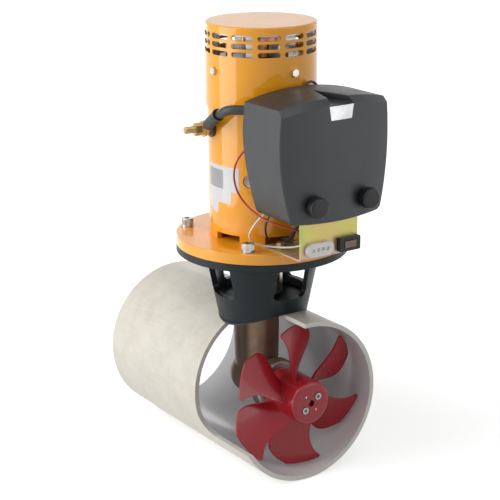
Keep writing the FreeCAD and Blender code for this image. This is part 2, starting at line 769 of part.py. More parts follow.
def propeller_shaft():
    tail = tail_bearing_front + DRIVE_BEARING_W - 0.5
    step = tail_bearing_front - 0.5
    shaft = lathe_y([
        (0, tail), (PROP_SHAFT_TAIL_R - 0.6, tail), (PROP_SHAFT_TAIL_R, tail - 0.6),
        (PROP_SHAFT_TAIL_R, step), (PROP_SHAFT_R, step), (PROP_SHAFT_R, drive_flange_back),
        (DRIVE_FLANGE_R, drive_flange_back),
        (DRIVE_FLANGE_R, drive_flange_front), (3.0, drive_flange_front), (3.0, drive_flange_front + 14),
        (0, drive_flange_front + 16)])
    holes = []
    for p in hub_screw_places():
        holes.append(rod_y(HUB_SCREW_R, drive_flange_front - 1, drive_flange_back + 1, p.x, p.z))
    for p in dowel_places():
        holes.append(rod_y(DOWEL_R, drive_flange_front - 1, drive_flange_front + 4, p.x, p.z))
    return shaft.cut(holes)


# ---- propeller ---------------------------------------------------------------------------------


def hub_screw_places():
    places = []
    for degrees in (HUB_SCREW_DEG, HUB_SCREW_DEG + 180):
        p = polar(HUB_SCREW_PCR, degrees)
        places.append(V(p.x, 0, p.y))
    return places


def dowel_places():
    places = []
    for degrees in (HUB_SCREW_DEG + 90, HUB_SCREW_DEG + 270):
        p = polar(HUB_SCREW_PCR, degrees)
        places.append(V(p.x, 0, p.y))
    return places


def spline(points):
    curve = Part.BSplineCurve()
    curve.interpolate(Points=points)
    return curve.toShape()


def blade_section(height, left, right):
    """Flat section across the blade: it follows the helix and thins towards both edges."""
    z = BLADE_TIP_R * height
    thick = BLADE_ROOT_T + (BLADE_TIP_T - BLADE_ROOT_T) * height
    slope = -BLADE_PITCH / 360.0
    rise = math.hypot(1.0, BLADE_PITCH / (2 * math.pi * z))
    rows = ([], [])
    for k in range(6):
        share = k / 5
        x = BLADE_TIP_R * (left + (right - left) * share)
        around = math.degrees(math.atan2(z, x))
        y = BLADE_MIDDLE_Y + slope * (around - BLADE_MIDDLE_DEG)
        half = (BLADE_EDGE_T + (thick - BLADE_EDGE_T) * 4 * share * (1 - share)) / 2 * rise
        rows[0].append(V(x, y + half, z))
        rows[1].append(V(x, y - half, z))
    upper, lower = rows
    return Part.Wire([spline(upper), Part.LineSegment(upper[-1], lower[-1]).toShape(),
                      spline(lower[::-1]), Part.LineSegment(lower[0], upper[0]).toShape()])


def blade_outline():
    """Prism along the shaft that trims the blade to its scimitar outline."""
    def at(point):
        return V(point[0] * BLADE_TIP_R, hub_back + 5, point[1] * BLADE_TIP_R)
    lead = [at(p) for p in LEADING_EDGE]
    trail = [at(p) for p in TRAILING_EDGE]
    crown = at((TIP_CROWN, math.sqrt(1 - TIP_CROWN ** 2)))
    edges = [spline(lead), Part.Arc(lead[-1], at(TIP_CORNER), at(TIP_START)).toShape(),
             Part.Arc(at(TIP_START), crown, trail[0]).toShape(), spline(trail),
             Part.LineSegment(trail[-1], lead[0]).toShape()]
    return Part.Face(Part.Wire(edges)).extrude(V(0, HUB_FRONT - hub_back - 10, 0))


def propeller():
    hub = lathe_y([
        (DRIVE_FLANGE_R + 0.3, hub_back), (HUB_R - 1.5, hub_back), (HUB_R, hub_back - 8),
        (HUB_R, HUB_FRONT + HUB_EDGE_R),
        ((HUB_R - HUB_EDGE_R * 0.293, HUB_FRONT + HUB_EDGE_R * 0.293), (HUB_R - HUB_EDGE_R, HUB_FRONT)),
        (4.0, HUB_FRONT), (4.0, drive_flange_front), (DRIVE_FLANGE_R + 0.3, drive_flange_front)])
    sections = [blade_section(*section) for section in BLADE_SECTIONS]
    blade = Part.makeLoft(sections, True, False).common(blade_outline())
    blades = pattern(blade, BLADE_COUNT, 0.0, Y_AXIS)
    solid = hub.fuse(blades)
    cutters = [rod_y(DRIVE_FLANGE_R + 0.3, drive_flange_front, hub_back + 1)]
    for p in hub_screw_places():
        cutters.append(rod_y(HUB_SCREW_R + 0.2, HUB_FRONT - 1, drive_flange_front + 1, p.x, p.z))
        cutters.append(rod_y(4.7, HUB_FRONT - 1, HUB_FRONT + 3.5, p.x, p.z))
    for p in dowel_places():
        cutters.append(rod_y(DOWEL_R, HUB_FRONT - 1, drive_flange_front + 1, p.x, p.z))
    return solid.cut(cutters)


def propeller_screws():
    screws = []
    for p in hub_screw_places():
        seat = V(p.x, HUB_FRONT + 3.5, p.z)
        screws.append(socket_screw(seat, V(0, 1, 0), HUB_SCREW_R, 10.0, 4.25, 4.4, 4.0))
    return screws


def drive_dowels():
    return [rod_y(DOWEL_R, HUB_FRONT + 0.6, drive_flange_front + 4, p.x, p.z) for p in dowel_places()]


# ---- coupling ----------------------------------------------------------------------------------


def coupling_hub(z0, z1, jaw_z0, jaw_z1, bore, phase):
    """Half of the jaw coupling: a disc with three jaws between the spider's lobes."""
    body = ring_z(COUPLING_R, bore, z0, z1)
    jaw = sector(JAW_INNER_R, COUPLING_R, jaw_z0, jaw_z1, JAW_HALF_DEG)
    return body.fuse(pattern(jaw, JAW_COUNT, phase))


def coupling_lower_hub():
    jaw_top = coupling_high_z - COUPLING_GAP
    return coupling_hub(coupling_low_z, spider_z, spider_z, jaw_top, DRIVE_SHAFT_R, 0.0)


def coupling_upper_hub():
    top = coupling_high_z + COUPLING_HUB_H
    jaw_low = spider_z + COUPLING_GAP
    return coupling_hub(coupling_high_z, top, jaw_low, coupling_high_z, MOTOR_SHAFT_R, 180.0 / JAW_COUNT)


def coupling_spider():
    z0 = spider_z + COUPLING_GAP
    z1 = coupling_high_z - COUPLING_GAP
    ring = ring_z(JAW_INNER_R - 0.2, JAW_INNER_R - 4.0, z0, z1)
    lobe = sector(JAW_INNER_R - 0.5, COUPLING_R - 0.5, z0, z1, LOBE_HALF_DEG)
    return ring.fuse(pattern(lobe, 2 * JAW_COUNT, 90.0 / JAW_COUNT))


# ---- motor -------------------------------------------------------------------------------------


def motor_flange():
    disc = lathe_z([
        (MOTOR_SHAFT_R + 1, bracket_top), (FLANGE_R, bracket_top), (FLANGE_R, deck - 0.8),
        (FLANGE_R - 0.8, deck), (MOTOR_SHAFT_R + 1, deck)])
    cutters = [rod_z(LOWER_BEARING_R, lower_bearing_z, deck + 1)]
    for p in flange_bolt_places():
        cutters.append(rod_z(FLANGE_BOLT_R + BOLT_HOLE_PLAY, bracket_top - 1, deck + 1, p.x, p.y))
    for p in plate_screw_places():
        cutters.append(rod_z(PLATE_SCREW_R, deck - 9, deck + 1, p.x, p.y))
    return disc.cut(cutters)


def flange_washers():
    return [ring_z(BOLT_WASHER_R, FLANGE_BOLT_R, deck, deck + BOLT_WASHER_T, p.x, p.y)
            for p in flange_bolt_places()]


def flange_bolts():
    seat = deck + BOLT_WASHER_T
    return [socket_screw(V(p.x, p.y, seat), Z_AXIS * -1, FLANGE_BOLT_R, seat - bracket_flange_z,
                         BOLT_HEAD_R, BOLT_HEAD_H, BOLT_KEY) for p in flange_bolt_places()]


def cap_screw_holes():
    start = V(yoke_bore - 5, 0, cap_screw_z)
    end = V(cap_r + 5, 0, cap_screw_z)
    return pattern(rod(CAP_SCREW_R, start, end), 4)


def on_stud(radius):
    return polar(radius, STUD_DEG, stud_z)


def motor_yoke():
    tube = ring_z(MOTOR_R, yoke_bore, deck, yoke_top)
    cutters = [sector(yoke_bore - 5, MOTOR_R + 5, deck - 1, deck + VENT_H, VENT_DEG / 2,
                      VENT_FIRST_DEG + k * 360.0 / VENT_COUNT) for k in range(VENT_COUNT)]
    cutters.append(rod(PEEP_HOLE_R, polar(yoke_bore - 5, PEEP_HOLE_DEG, deck + PEEP_HOLE_Z),
                       polar(MOTOR_R + 5, PEEP_HOLE_DEG, deck + PEEP_HOLE_Z)))
    cutters.append(rod(INSULATOR_R, on_stud(yoke_bore - 5), on_stud(MOTOR_R + 5)))
    return tube.cut(cutters + cap_screw_holes())


def pole_shoes():
    return [sector(ARMATURE_R + AIR_GAP, yoke_bore, core_z - 2, core_top + 2, 24.0, 35 + 90 * k)
            for k in range(POLE_COUNT)]


def field_coils():
    coils = []
    for k in range(POLE_COUNT):
        loop = sector(ARMATURE_R + AIR_GAP + 2, yoke_bore - 0.6, core_z - 14, core_top + 14,
                      36.0, 35 + 90 * k)
        core = sector(ARMATURE_R, yoke_bore + 1, core_z - 2.3, core_top + 2.3, 24.4, 35 + 90 * k)
        coils.append(loop.cut(core))
    return coils


def armature_core():
    return ring_z(ARMATURE_R, MOTOR_SHAFT_R, core_z, core_top)


def winding(z0, z1, narrow_end):
    """End turns of the armature: a rounded ring that narrows away from the core."""
    wide = ARMATURE_R - 3
    slim = wide - 7
    near, far = (z0, z1) if narrow_end == "top" else (z1, z0)
    return lathe_z([(MOTOR_SHAFT_R + 3, near), (wide, near), (wide, near + (far - near) * 0.5),
                    ((wide - 2, near + (far - near) * 0.85), (slim, far)), (MOTOR_SHAFT_R + 3, far)])


def armature_windings():
    return [winding(core_z - WINDING_LENGTH * 0.8, core_z, "bottom"),
            winding(core_top, core_top + WINDING_LENGTH, "top")]


def commutator():
    return lathe_z([
        (MOTOR_SHAFT_R, commutator_z), (COMMUTATOR_R + 3, commutator_z), (COMMUTATOR_R + 3, commutator_z + 5),
        (COMMUTATOR_R, commutator_z + 6), (COMMUTATOR_R, commutator_top), (MOTOR_SHAFT_R, commutator_top)])


def motor_shaft():
    low = coupling_high_z
    step = upper_bearing_z - 0.5
    return lathe_z([
        (0, low), (MOTOR_SHAFT_R - 0.8, low), (MOTOR_SHAFT_R, low + 0.8), (MOTOR_SHAFT_R, step),
        (UPPER_SHAFT_R, step), (UPPER_SHAFT_R, end_bracket_top - 0.5), (0, end_bracket_top - 0.5)])


def motor_bearings():
    return [bearing_on_z(LOWER_BEARING_R, MOTOR_SHAFT_R + RUNNING, LOWER_BEARING_W, lower_bearing_z),
            bearing_on_z(UPPER_BEARING_R, UPPER_SHAFT_R + RUNNING, UPPER_BEARING_W, upper_bearing_z)]


def end_bracket():
    """Spider on the yoke's upper end that carries the brush ring and the upper bearing."""
    base = ring_z(MOTOR_R - 1, RING_INNER_R, yoke_top, yoke_top + END_PLATE_T)
    plate_z = end_bracket_top - END_PLATE_T
    posts = pattern(sector(50.0, MOTOR_R - 1.5, yoke_top + END_PLATE_T, plate_z, 6.0), 4, 45)
    plate = rod_z(MOTOR_R - 1.5, plate_z, end_bracket_top)
    boss = rod_z(UPPER_BEARING_R + 4, upper_bearing_z, end_bracket_top)
    gaps = pattern(sector(28.0, 48.0, plate_z - 1, end_bracket_top + 1, 30.0), 4)
    solid = base.fuse(posts + [plate, boss])
    return solid.cut(gaps + [rod_z(UPPER_BEARING_R, upper_bearing_z - 1, end_bracket_top + 1)])


def brush_holders():
    """Insulating ring with four brass boxes round the commutator."""
    ring = ring_z(RING_INNER_R + 2, COMMUTATOR_R + 5, yoke_top + END_PLATE_T, yoke_top + END_PLATE_T + 2)
    boxes = []
    for k in range(4):
        box = block(COMMUTATOR_R + 4, 44, -BRUSH_HALF_W - 1.5, BRUSH_HALF_W + 1.5,
                    yoke_top + END_PLATE_T + 2, brush_z + BRUSH_H + 1.5)
        hollow = block(COMMUTATOR_R, 42, -BRUSH_HALF_W, BRUSH_HALF_W, brush_z, brush_z + BRUSH_H)
        boxes.append(turned(box.cut(hollow), 90 * k))
    return ring.fuse(boxes)


def brushes():
    one = block(COMMUTATOR_R - 2, 40, -BRUSH_HALF_W, BRUSH_HALF_W, brush_z, brush_z + BRUSH_H)
    one = one.cut(rod_z(COMMUTATOR_R + 0.1, brush_z - 1, brush_z + BRUSH_H + 1))
    return pattern(one, 4)


def motor_cap():
    inner = MOTOR_R + 0.1
    shell = lathe_z([
        (inner, cap_bottom), (cap_r, cap_bottom), (cap_r, cap_top - 2),
        ((cap_r - 0.586, cap_top - 0.586), (cap_r - 2, cap_top)), (0, cap_top), (0, cap_top - CAP_T),
        (inner, cap_top - CAP_T)])
    half = SLOT_LENGTH / 2
    cutters = []
    for row in range(CAP_ROWS):
        z = cap_top - SLOT_TOP_DROP - row * SLOT_PITCH
        slot = slot_prism("YZ", -half, half, z - SLOT_H / 2, z + SLOT_H / 2, inner - 12, cap_r + 5)
        cutters += pattern(slot, CAP_SLOTS, SLOT_FIRST_DEG)
    return shell.cut(cutters + cap_screw_holes())


def cap_screws():
    length = cap_r - yoke_bore - 0.5
    return pattern(hex_screw(V(cap_r, 0, cap_screw_z), X_AXIS * -1, CAP_SCREW_R, length, 8.0, 3.5), 4)


# ---- motor terminal and power cable ------------------------------------------------------------


def terminal_insulator():
    motor = rod_z(MOTOR_R, stud_z - 15, stud_z + 15)
    bush = rod(INSULATOR_R, on_stud(yoke_bore), on_stud(MOTOR_R + 1))
    flange = rod(INSULATOR_FLANGE_R, on_stud(MOTOR_R - 5), on_stud(MOTOR_R + INSULATOR_FLANGE_T))
    return bush.fuse(flange.cut(motor)).cut(rod(STUD_R, on_stud(yoke_bore - 5), on_stud(STUD_REACH)))


def terminal_stud():
    return rod(STUD_R, on_stud(yoke_bore - 1), on_stud(STUD_REACH - 0.8)).fuse(
        rod(STUD_R - 0.8, on_stud(STUD_REACH - 0.8), on_stud(STUD_REACH)))


def terminal_nuts():
    """Inner nut, outer nut and the washers between."""
    bore = rod(STUD_R, on_stud(MOTOR_R - 5), on_stud(STUD_REACH + 5))
    lug_face = lug_r + LUG_T
    washer_face = lug_face + WASHER_T
    nut_seat = washer_face + SPRING_WASHER_T
    pieces = [
        hexagon(NUT_FLATS, on_stud(MOTOR_R + INSULATOR_FLANGE_T), on_stud(lug_r)),
        rod(WASHER_R, on_stud(lug_face), on_stud(washer_face)),
        rod(SPRING_WASHER_R, on_stud(washer_face), on_stud(nut_seat)),
        hexagon(NUT_FLATS, on_stud(nut_seat), on_stud(nut_seat + NUT_H)),
    ]
    return [piece.cut(bore) for piece in pieces]


lug_centre = polar(lug_r + LUG_T / 2, STUD_DEG, stud_z)
lug_way = polar(1, STUD_DEG + 90) * 0.86 + V(0, 0, 0.51)
lug_way.normalize()


def cable_lug():
    ring = rod(LUG_RING_R, on_stud(lug_r), on_stud(lug_r + LUG_T))
    out = polar(1, STUD_DEG)
    side = out.cross(lug_way)
    tongue = Part.makeBox(LUG_BARREL_START + 1.0, LUG_TONGUE_W, LUG_T)
    turn = FreeCAD.Rotation(lug_way, side, out, "XYZ")
    corner = on_stud(lug_r) - side * (LUG_TONGUE_W / 2)
    tongue.Placement = FreeCAD.Placement(corner, turn)
    barrel = rod(POWER_CABLE_R, lug_centre + lug_way * LUG_BARREL_START,
                 lug_centre + lug_way * (LUG_BARREL_START + LUG_BARREL_LENGTH))
    return ring.fuse([tongue, barrel]).cut(rod(STUD_R, on_stud(lug_r - 5), on_stud(lug_r + 9)))


def cable_sleeve():
    start = lug_centre + lug_way * (LUG_BARREL_START + 1.6)
    end = start + lug_way * SLEEVE_LENGTH
    return rod(SLEEVE_R, start, end).cut(rod(POWER_CABLE_R, start - lug_way, end + lug_way))


def power_cable_points():
    start = lug_centre + lug_way * (LUG_BARREL_START + LUG_BARREL_LENGTH)
    bend = lug_centre + lug_way * CABLE_BEND
    return [start, bend, V(-71.5, -55.5, deck + 164), V(-34, -94, deck + 162)]


def power_cable():
    return cord("power_cable", power_cable_points(), POWER_CABLE_R)


# ---- control plate -----------------------------------------------------------------------------

def plate_screw_places():
    return [V(-24, -70.5, 0), V(24, -70.5, 0)]


def plate_window():
    return slot_prism("XZ", CONNECTOR_X[0] + 4, CONNECTOR_X[1] - 4, deck + CONNECTOR_Z[0] + 2.5,
                      deck + CONNECTOR_Z[1] - 2.5, PLATE_FRONT - 1, plate_back + 1)


def control_plate():
    """Bent sheet: a foot on the motor flange and an upright with ears for the cover's knobs."""
    outer_r = BEND_R + PLATE_T
    k = 1 - math.sqrt(0.5)
    top = deck + PLATE_HEIGHT
    face = outline("YZ", [
        (FOOT_BACK, deck), (PLATE_FRONT + outer_r, deck),
        ((PLATE_FRONT + outer_r * k, deck + outer_r * k), (PLATE_FRONT, deck + outer_r)),
        (PLATE_FRONT, top), (plate_back, top), (plate_back, deck + outer_r),
        ((plate_back + BEND_R * k, deck + PLATE_T + BEND_R * k), (plate_back + BEND_R, deck + PLATE_T)),
        (FOOT_BACK, deck + PLATE_T)], -EAR_HALF_W)
    sheet = face.extrude(V(2 * EAR_HALF_W, 0, 0))
    cutters = [rod_z(MOTOR_R + 2, deck - 1, deck + 10)]
    for side in (-1, 1):
        x0, x1 = sorted((side * PLATE_HALF_W, side * (EAR_HALF_W + 1)))
        cutters.append(block(x0, x1, PLATE_FRONT - 1, FOOT_BACK + 1, deck - 1, deck + EAR_START))
        cutters.append(rod_y(PRESS_NUT_R, PLATE_FRONT - 1, plate_back + 1, side * KNOB_X, knob_z))
        cutters.append(rod_y(2.0, PLATE_FRONT - 1, plate_back + 1, side * 22, deck + 130))
    for p in plate_screw_places():
        cutters.append(rod_z(PLATE_SCREW_R, deck - 1, deck + 10, p.x, p.y))
    cutters.append(plate_window())
    return sheet.cut(cutters)


def press_nuts():
    """Two threaded bushes in the plate's ears that take the cover's knobs."""
    nuts = []
    for side in (-1, 1):
        body = rod_y(PRESS_NUT_R, PLATE_FRONT, plate_back, side * KNOB_X, knob_z)
        collar = rod_y(PRESS_NUT_R + 1.5, plate_back, plate_back + 5, side * KNOB_X, knob_z)
        nuts.append(body.fuse(collar).cut(
            rod_y(KNOB_SCREW_R + SLIDE_PLAY, PLATE_FRONT - 1, plate_back + 9, side * KNOB_X, knob_z)))
    return nuts


def plate_screws():
    return [hex_screw(V(p.x, p.y, deck + PLATE_T), V(0, 0, -1), PLATE_SCREW_R, PLATE_T + 8, 8.0, 3.6)
            for p in plate_screw_places()]


def contactor():
    """Reversing contactor: a moulded base with two round coil housings."""
    z0 = deck + CONTACTOR_Z[0]
    z1 = deck + CONTACTOR_Z[1]
    base = rounded_prism("XZ", -CONTACTOR_HALF_W, CONTACTOR_HALF_W, z0, z1, 4.0, plate_back, plate_back + 12)
    coils = [rod_z(14.0, z0 + 3, z1 - 8, side * 15.5, plate_back + 20) for side in (-1, 1)]
    lids = [rounded_prism("XY", side * 15.5 - 14.8, side * 15.5 + 14.8, plate_back + 5,
                          plate_back + CONTACTOR_D, 3.0, z1 - 8, z1) for side in (-1, 1)]
    pins = [rod_y(2.0, PLATE_FRONT - 1.5, plate_back, side * 22, deck + 130) for side in (-1, 1)]
    return base.fuse(coils + lids + pins)


def contactor_studs():
    """Four copper studs with nuts on the contactor's lids; one carries the power cable's barrel."""
    z0 = deck + CONTACTOR_Z[1]
    studs = []
    for x in (-22.0, -9.0, 9.0, 22.0):
        y = plate_back + 22
        studs.append(rod_z(3.0, z0, z0 + 14, x, y).fuse(hexagon(10.0, V(x, y, z0), V(x, y, z0 + 5))))
    points = power_cable_points()
    way = (points[-1] - points[-2]).normalize()
    foot = V(-22.0, plate_back + 22, points[-1].z)
    barrel = rod(POWER_CABLE_R, points[-1], points[-1] + way * 8)
    neck = rod(3.5, points[-1] + way * 7, foot)
    studs[0] = studs[0].fuse([barrel, neck, rod_z(3.0, z0, foot.z + 5, foot.x, foot.y)])
    return studs


def connector():
    """Four-way socket for the control lead, through the plate's window."""
    z0 = deck + CONNECTOR_Z[0]
    z1 = deck + CONNECTOR_Z[1]
    front = slot_prism("XZ", CONNECTOR_X[0], CONNECTOR_X[1], z0, z1, PLATE_FRONT - CONNECTOR_D,
                       PLATE_FRONT)
    neck = plate_window().common(block(-60, 60, PLATE_FRONT, plate_back, deck, deck + 60))
    rear = block(CONNECTOR_X[0] + 7, CONNECTOR_X[1] - 7, plate_back, plate_back + 10, z0 + 3, z1 - 3)
    middle = (CONNECTOR_X[0] + CONNECTOR_X[1]) / 2
    holes = [rod_y(2.2, PLATE_FRONT - CONNECTOR_D - 1, PLATE_FRONT - 1, middle + 6.6 * (k - 1.5),
                   (z0 + z1) / 2) for k in range(4)]
    return front.fuse([neck, rear]).cut(holes)


def fuse_body(half_w, half_h, r, front, back):
    """Prism round the middle of the fuse holder."""
    x = (FUSE_HOLDER_X[0] + FUSE_HOLDER_X[1]) / 2
    z = deck + (FUSE_HOLDER_Z[0] + FUSE_HOLDER_Z[1]) / 2
    return rounded_prism("XZ", x - half_w, x + half_w, z - half_h, z + half_h, r, front, back)


def fuse_blades(play, front, back):
    """The two flat contacts of the fuse, or their slots when play is added."""
    x = (FUSE_HOLDER_X[0] + FUSE_HOLDER_X[1]) / 2
    z = deck + (FUSE_HOLDER_Z[0] + FUSE_HOLDER_Z[1]) / 2
    reach = 2.4 + play
    return [block(x + side * FUSE_BLADE_X - 1 - play, x + side * FUSE_BLADE_X + 1 + play, front, back,
                  z - reach, z + reach) for side in (-1, 1)]


def fuse_holder():
    half_w = (FUSE_HOLDER_X[1] - FUSE_HOLDER_X[0]) / 2
    half_h = (FUSE_HOLDER_Z[1] - FUSE_HOLDER_Z[0]) / 2
    front = PLATE_FRONT - FUSE_HOLDER_D
    body = fuse_body(half_w, half_h, 1.5, front, PLATE_FRONT)
    floor = PLATE_FRONT - FUSE_FLOOR
    pocket = fuse_body(FUSE_HALF_W + FUSE_PLAY, FUSE_HALF_H + FUSE_PLAY, 1.0, front - 1, floor)
    return body.cut([pocket] + fuse_blades(FUSE_PLAY, floor - 1, PLATE_FRONT - 0.5))


def fuse():
    """Blade fuse that pulls straight out of its holder."""
    back = PLATE_FRONT - FUSE_FLOOR - FUSE_PLAY
    grip = fuse_body(FUSE_HALF_W, FUSE_HALF_H, 0.8, PLATE_FRONT - FUSE_HOLDER_D - 0.8, back)
    return grip.fuse(fuse_blades(0.0, back, PLATE_FRONT - 1))


# ---- cover, badge and knobs --------------------------------------------------------------------


def cover_block(inset, back):
    """Form of the cover drawn in by inset: a barrel front view, a bowed face and its bevels."""
    top_half = COVER_TOP_HALF - inset
    middle_half = COVER_MID_HALF - inset
    bottom_half = COVER_BOTTOM_HALF - inset
    shoulder = deck + COVER_SHOULDER - inset
    middle = deck + COVER_MID
    corner = deck + COVER_BOTTOM_CORNER + inset
    face = outline("XZ", [
        (-top_half, shoulder), ((0, deck + COVER_TOP - inset), (top_half, shoulder)),
        ((middle_half, middle), (bottom_half, corner)),
        ((0, deck + COVER_BOTTOM + inset), (-bottom_half, corner)),
        ((-middle_half, middle), (-top_half, shoulder))], back)
    prism = face.extrude(V(0, cover_front - 10 - back, 0))
    low_corners = [e for e in prism.Edges if e.BoundBox.XLength < 1e-3 and e.BoundBox.ZMax < middle]
    prism = prism.makeFillet(COVER_CORNER_R - inset, low_corners)
    reach = COVER_MID_HALF + 5
    face_y = cover_front + inset
    side_y = face_y + cover_arc_r - math.sqrt(cover_arc_r ** 2 - reach ** 2)
    bowed = outline("XY", [(-reach, back), (-reach, side_y), ((0, face_y), (reach, side_y)), (reach, back)],
                    deck).extrude(V(0, 0, COVER_TOP + 20))
    solid = prism.common(bowed)
    solid = solid.makeChamfer(COVER_BEVEL - 0.586 * inset, [highest_edge(front_face(solid))])
    if inset < COVER_SIDE_BEVEL:
        sides = [e for e in front_face(solid).Edges if e.BoundBox.ZMin < middle]
        solid = solid.makeChamfer(COVER_SIDE_BEVEL - inset, sides)
    return solid


def front_face(solid):
    return max((f for f in solid.Faces if f.BoundBox.YMax < COVER_BACK - 10), key=lambda f: f.Area)


def highest_edge(face):
    return max(face.Edges, key=lambda e: e.BoundBox.ZMin)


def notch_prism(extra):
    """Shallow V in the cover's top that opens to the front."""
    tip = cover_front + 54 + extra
    half = 18.0 + extra
    corners = [(-half, cover_front - 5), (half, cover_front - 5), (0, tip)]
    face = outline("XY", corners, deck + COVER_TOP - 8 - extra)
    return face.extrude(V(0, 0, 30))


def badge_prism():
    face = outline("XZ", [
        (-14.0, deck + COVER_TOP - 24), (14.0, deck + COVER_TOP - 24), (16.5, deck + COVER_TOP - 8.5),
        (-16.5, deck + COVER_TOP - 8.5)], cover_front - 5)
    return face.extrude(V(0, 30, 0))


def cover():
    outside = cover_block(0.0, COVER_BACK)
    low = deck + COVER_BOTTOM - 10
    slant = outline("YZ", [
        (COVER_BACK + 20, low), (COVER_BACK_LOW, low), (COVER_BACK_LOW, deck + COVER_BOTTOM),
        (COVER_BACK, deck + COVER_MID + 5), (COVER_BACK + 20, deck + COVER_MID + 5)],
        -COVER_MID_HALF - 5).extrude(V(2 * COVER_MID_HALF + 10, 0, 0))
    hollow = cover_block(COVER_WALL, COVER_BACK + 5).cut(notch_prism(COVER_WALL))
    slot_half = EAR_HALF_W + 3
    floor_slot = block(-slot_half, slot_half, PLATE_FRONT - 0.6, COVER_BACK + 5, low, low + 22)
    shell = outside.cut([notch_prism(0.0), hollow, slant, floor_slot])
    bosses = [rod_y(7.0, knob_seat + 1.5, PLATE_FRONT - 0.3, side * KNOB_X, knob_z) for side in (-1, 1)]
    shell = shell.fuse(bosses)
    flats = [rod_y(8.5, cover_front - 5, knob_seat, side * KNOB_X, knob_z) for side in (-1, 1)]
    bores = [rod_y(KNOB_SCREW_R + SLIDE_PLAY, cover_front - 5, PLATE_FRONT + 1, side * KNOB_X, knob_z)
             for side in (-1, 1)]
    seat = badge_prism().common(outside).cut(cover_block(BADGE_T, COVER_BACK))
    return shell.cut(flats + bores + [seat])


def badge_plate():
    outside = cover_block(0.0, COVER_BACK)
    return badge_prism().common(outside).cut([cover_block(BADGE_T, COVER_BACK), notch_prism(0.0)])


def knob(side):
    """Round thumb knob with a steel screw that runs through the cover into the plate."""
    seat = knob_seat - 0.1
    neck = seat - 3.2
    front = neck - 10.0
    cap = lathe_y([
        (0, neck), (KNOB_R - 1, neck), (KNOB_R, neck - 1), (KNOB_R, front + 3),
        ((KNOB_R - 0.9, front + 0.9), (KNOB_R - 3, front)), (0, front - 0.6)])
    stem = rod_y(7.0, neck, seat)
    screw = rod_y(KNOB_SCREW_R, seat, plate_back + 4)
    solid = cap.fuse([stem, screw])
    solid.translate(V(side * KNOB_X, 0, knob_z))
    return solid


# ---- small wiring ------------------------------------------------------------------------------


def red_wire():
    return cord("red_wire", [
        V(-30.3, -104, deck + 142), V(-44, -104, deck + 142), V(-57, -86, deck + 135),
        V(-66, -64, deck + 121), V(-69, -46, deck + 100), V(-67, -40, deck + 78), V(-62, -46, deck + 58),
        V(-56, -66, deck + 44), V(-51, -90, deck + 38), V(-40, -112, deck + 34), V(-24, -124, deck + 29),
        V(-24, -124, deck + CONNECTOR_Z[1] - 3)], WIRE_R)


def black_wire():
    return cord("black_wire", [
        V(-22, -106, deck + 81), V(-22, -106, deck + 68), V(-30, -90, deck + 57), V(-41, -76, deck + 45),
        V(-43, -67, deck + 27), V(-38, -63, deck + 12), V(-29, -57, deck + 5.0),
        V(-23, -46, deck + 4.6)], WIRE_R)


def white_wire():
    return cord("white_wire", [
        V(-12, -106, deck + 81), V(-12, -106, deck + 69), V(-26, -92, deck + 62), V(-45, -79, deck + 51),
        V(-56, -62, deck + 29), V(-57, -53, deck + 12), V(-50, -60, deck + 4.6), V(-38, -78, deck + 4.2),
        V(-26, -97, deck + 6), V(-19, -110, deck + 11.5), V(-19, -119, deck + 11.5)], WIRE_R)


def harness_cable():
    return cord("harness_cable", [
        V(-15, -112, deck + 81), V(-15, -112, deck + 57), V(-24, -102, deck + 32), V(-20, -86, deck + 14),
        V(-14, -72, deck + 5.4), V(-11, -54, deck + 5.0)], HARNESS_R)


def bridge_lead():
    return cord("bridge_lead", [
        V(3, -67.4, deck + 158), V(6.5, -67.4, deck + 175), V(21, -67.4, deck + 190),
        V(36.5, -67.6, deck + 174), V(39, -73, deck + 156), V(34, -90, deck + 149),
        V(23.75, -104.55, deck + 154)], LEAD_R)


NODES = {
    "tunnel": tunnel,
    "saddle_gasket": saddle_gasket,
    "mounting_bracket": mounting_bracket,
    "tail_bolts": tail_bolts,
    "tail_piece": tail_piece,
    "tail_cap": tail_cap,
    "anode_ring": anode_ring,
    "propeller": propeller,
    "propeller_screws": propeller_screws,
    "drive_dowels": drive_dowels,
    "propeller_shaft": propeller_shaft,
    "propeller_seal": propeller_seal,
    "bevel_gear": bevel_gear,
    "bevel_pinion": bevel_pinion,
    "drive_shaft": drive_shaft,
    "gear_case_bearings": gear_case_bearings,
    "bearing_spacer": bearing_spacer,
    "drive_seal": drive_seal,
    "coupling_lower_hub": coupling_lower_hub,
    "coupling_upper_hub": coupling_upper_hub,
    "coupling_spider": coupling_spider,
    "motor_flange": motor_flange,
    "flange_washers": flange_washers,
    "flange_bolts": flange_bolts,
    "motor_yoke": motor_yoke,
    "pole_shoes": pole_shoes,
    "field_coils": field_coils,
    "armature_core": armature_core,
    "armature_windings": armature_windings,
    "commutator": commutator,
    "motor_shaft": motor_shaft,
    "motor_bearings": motor_bearings,
    "end_bracket": end_bracket,
    "brush_holders": brush_holders,
    "brushes": brushes,
    "motor_cap": motor_cap,
    "cap_screws": cap_screws,
    "terminal_insulator": terminal_insulator,
    "terminal_stud": terminal_stud,
    "terminal_nuts": terminal_nuts,
    "cable_lug": cable_lug,
    "cable_sleeve": cable_sleeve,
    "power_cable": power_cable,
    "control_plate": control_plate,
    "press_nuts": press_nuts,
    "plate_screws": plate_screws,
    "contactor": contactor,
    "contactor_studs": contactor_studs,
    "connector": connector,
    "fuse_holder": fuse_holder,
    "fuse": fuse,
    "cover": cover,
    "badge_plate": badge_plate,
    "knob_left": lambda: knob(-1),
    "knob_right": lambda: knob(1),
    "red_wire": red_wire,
    "black_wire": black_wire,
    "white_wire": white_wire,
    "harness_cable": harness_cable,
    "bridge_lead": bridge_lead,
}

os.makedirs("parts", exist_ok=True)
for node, make in NODES.items():
    export(node, make())
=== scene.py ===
import bpy
import bmesh
import math
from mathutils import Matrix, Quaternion, Vector


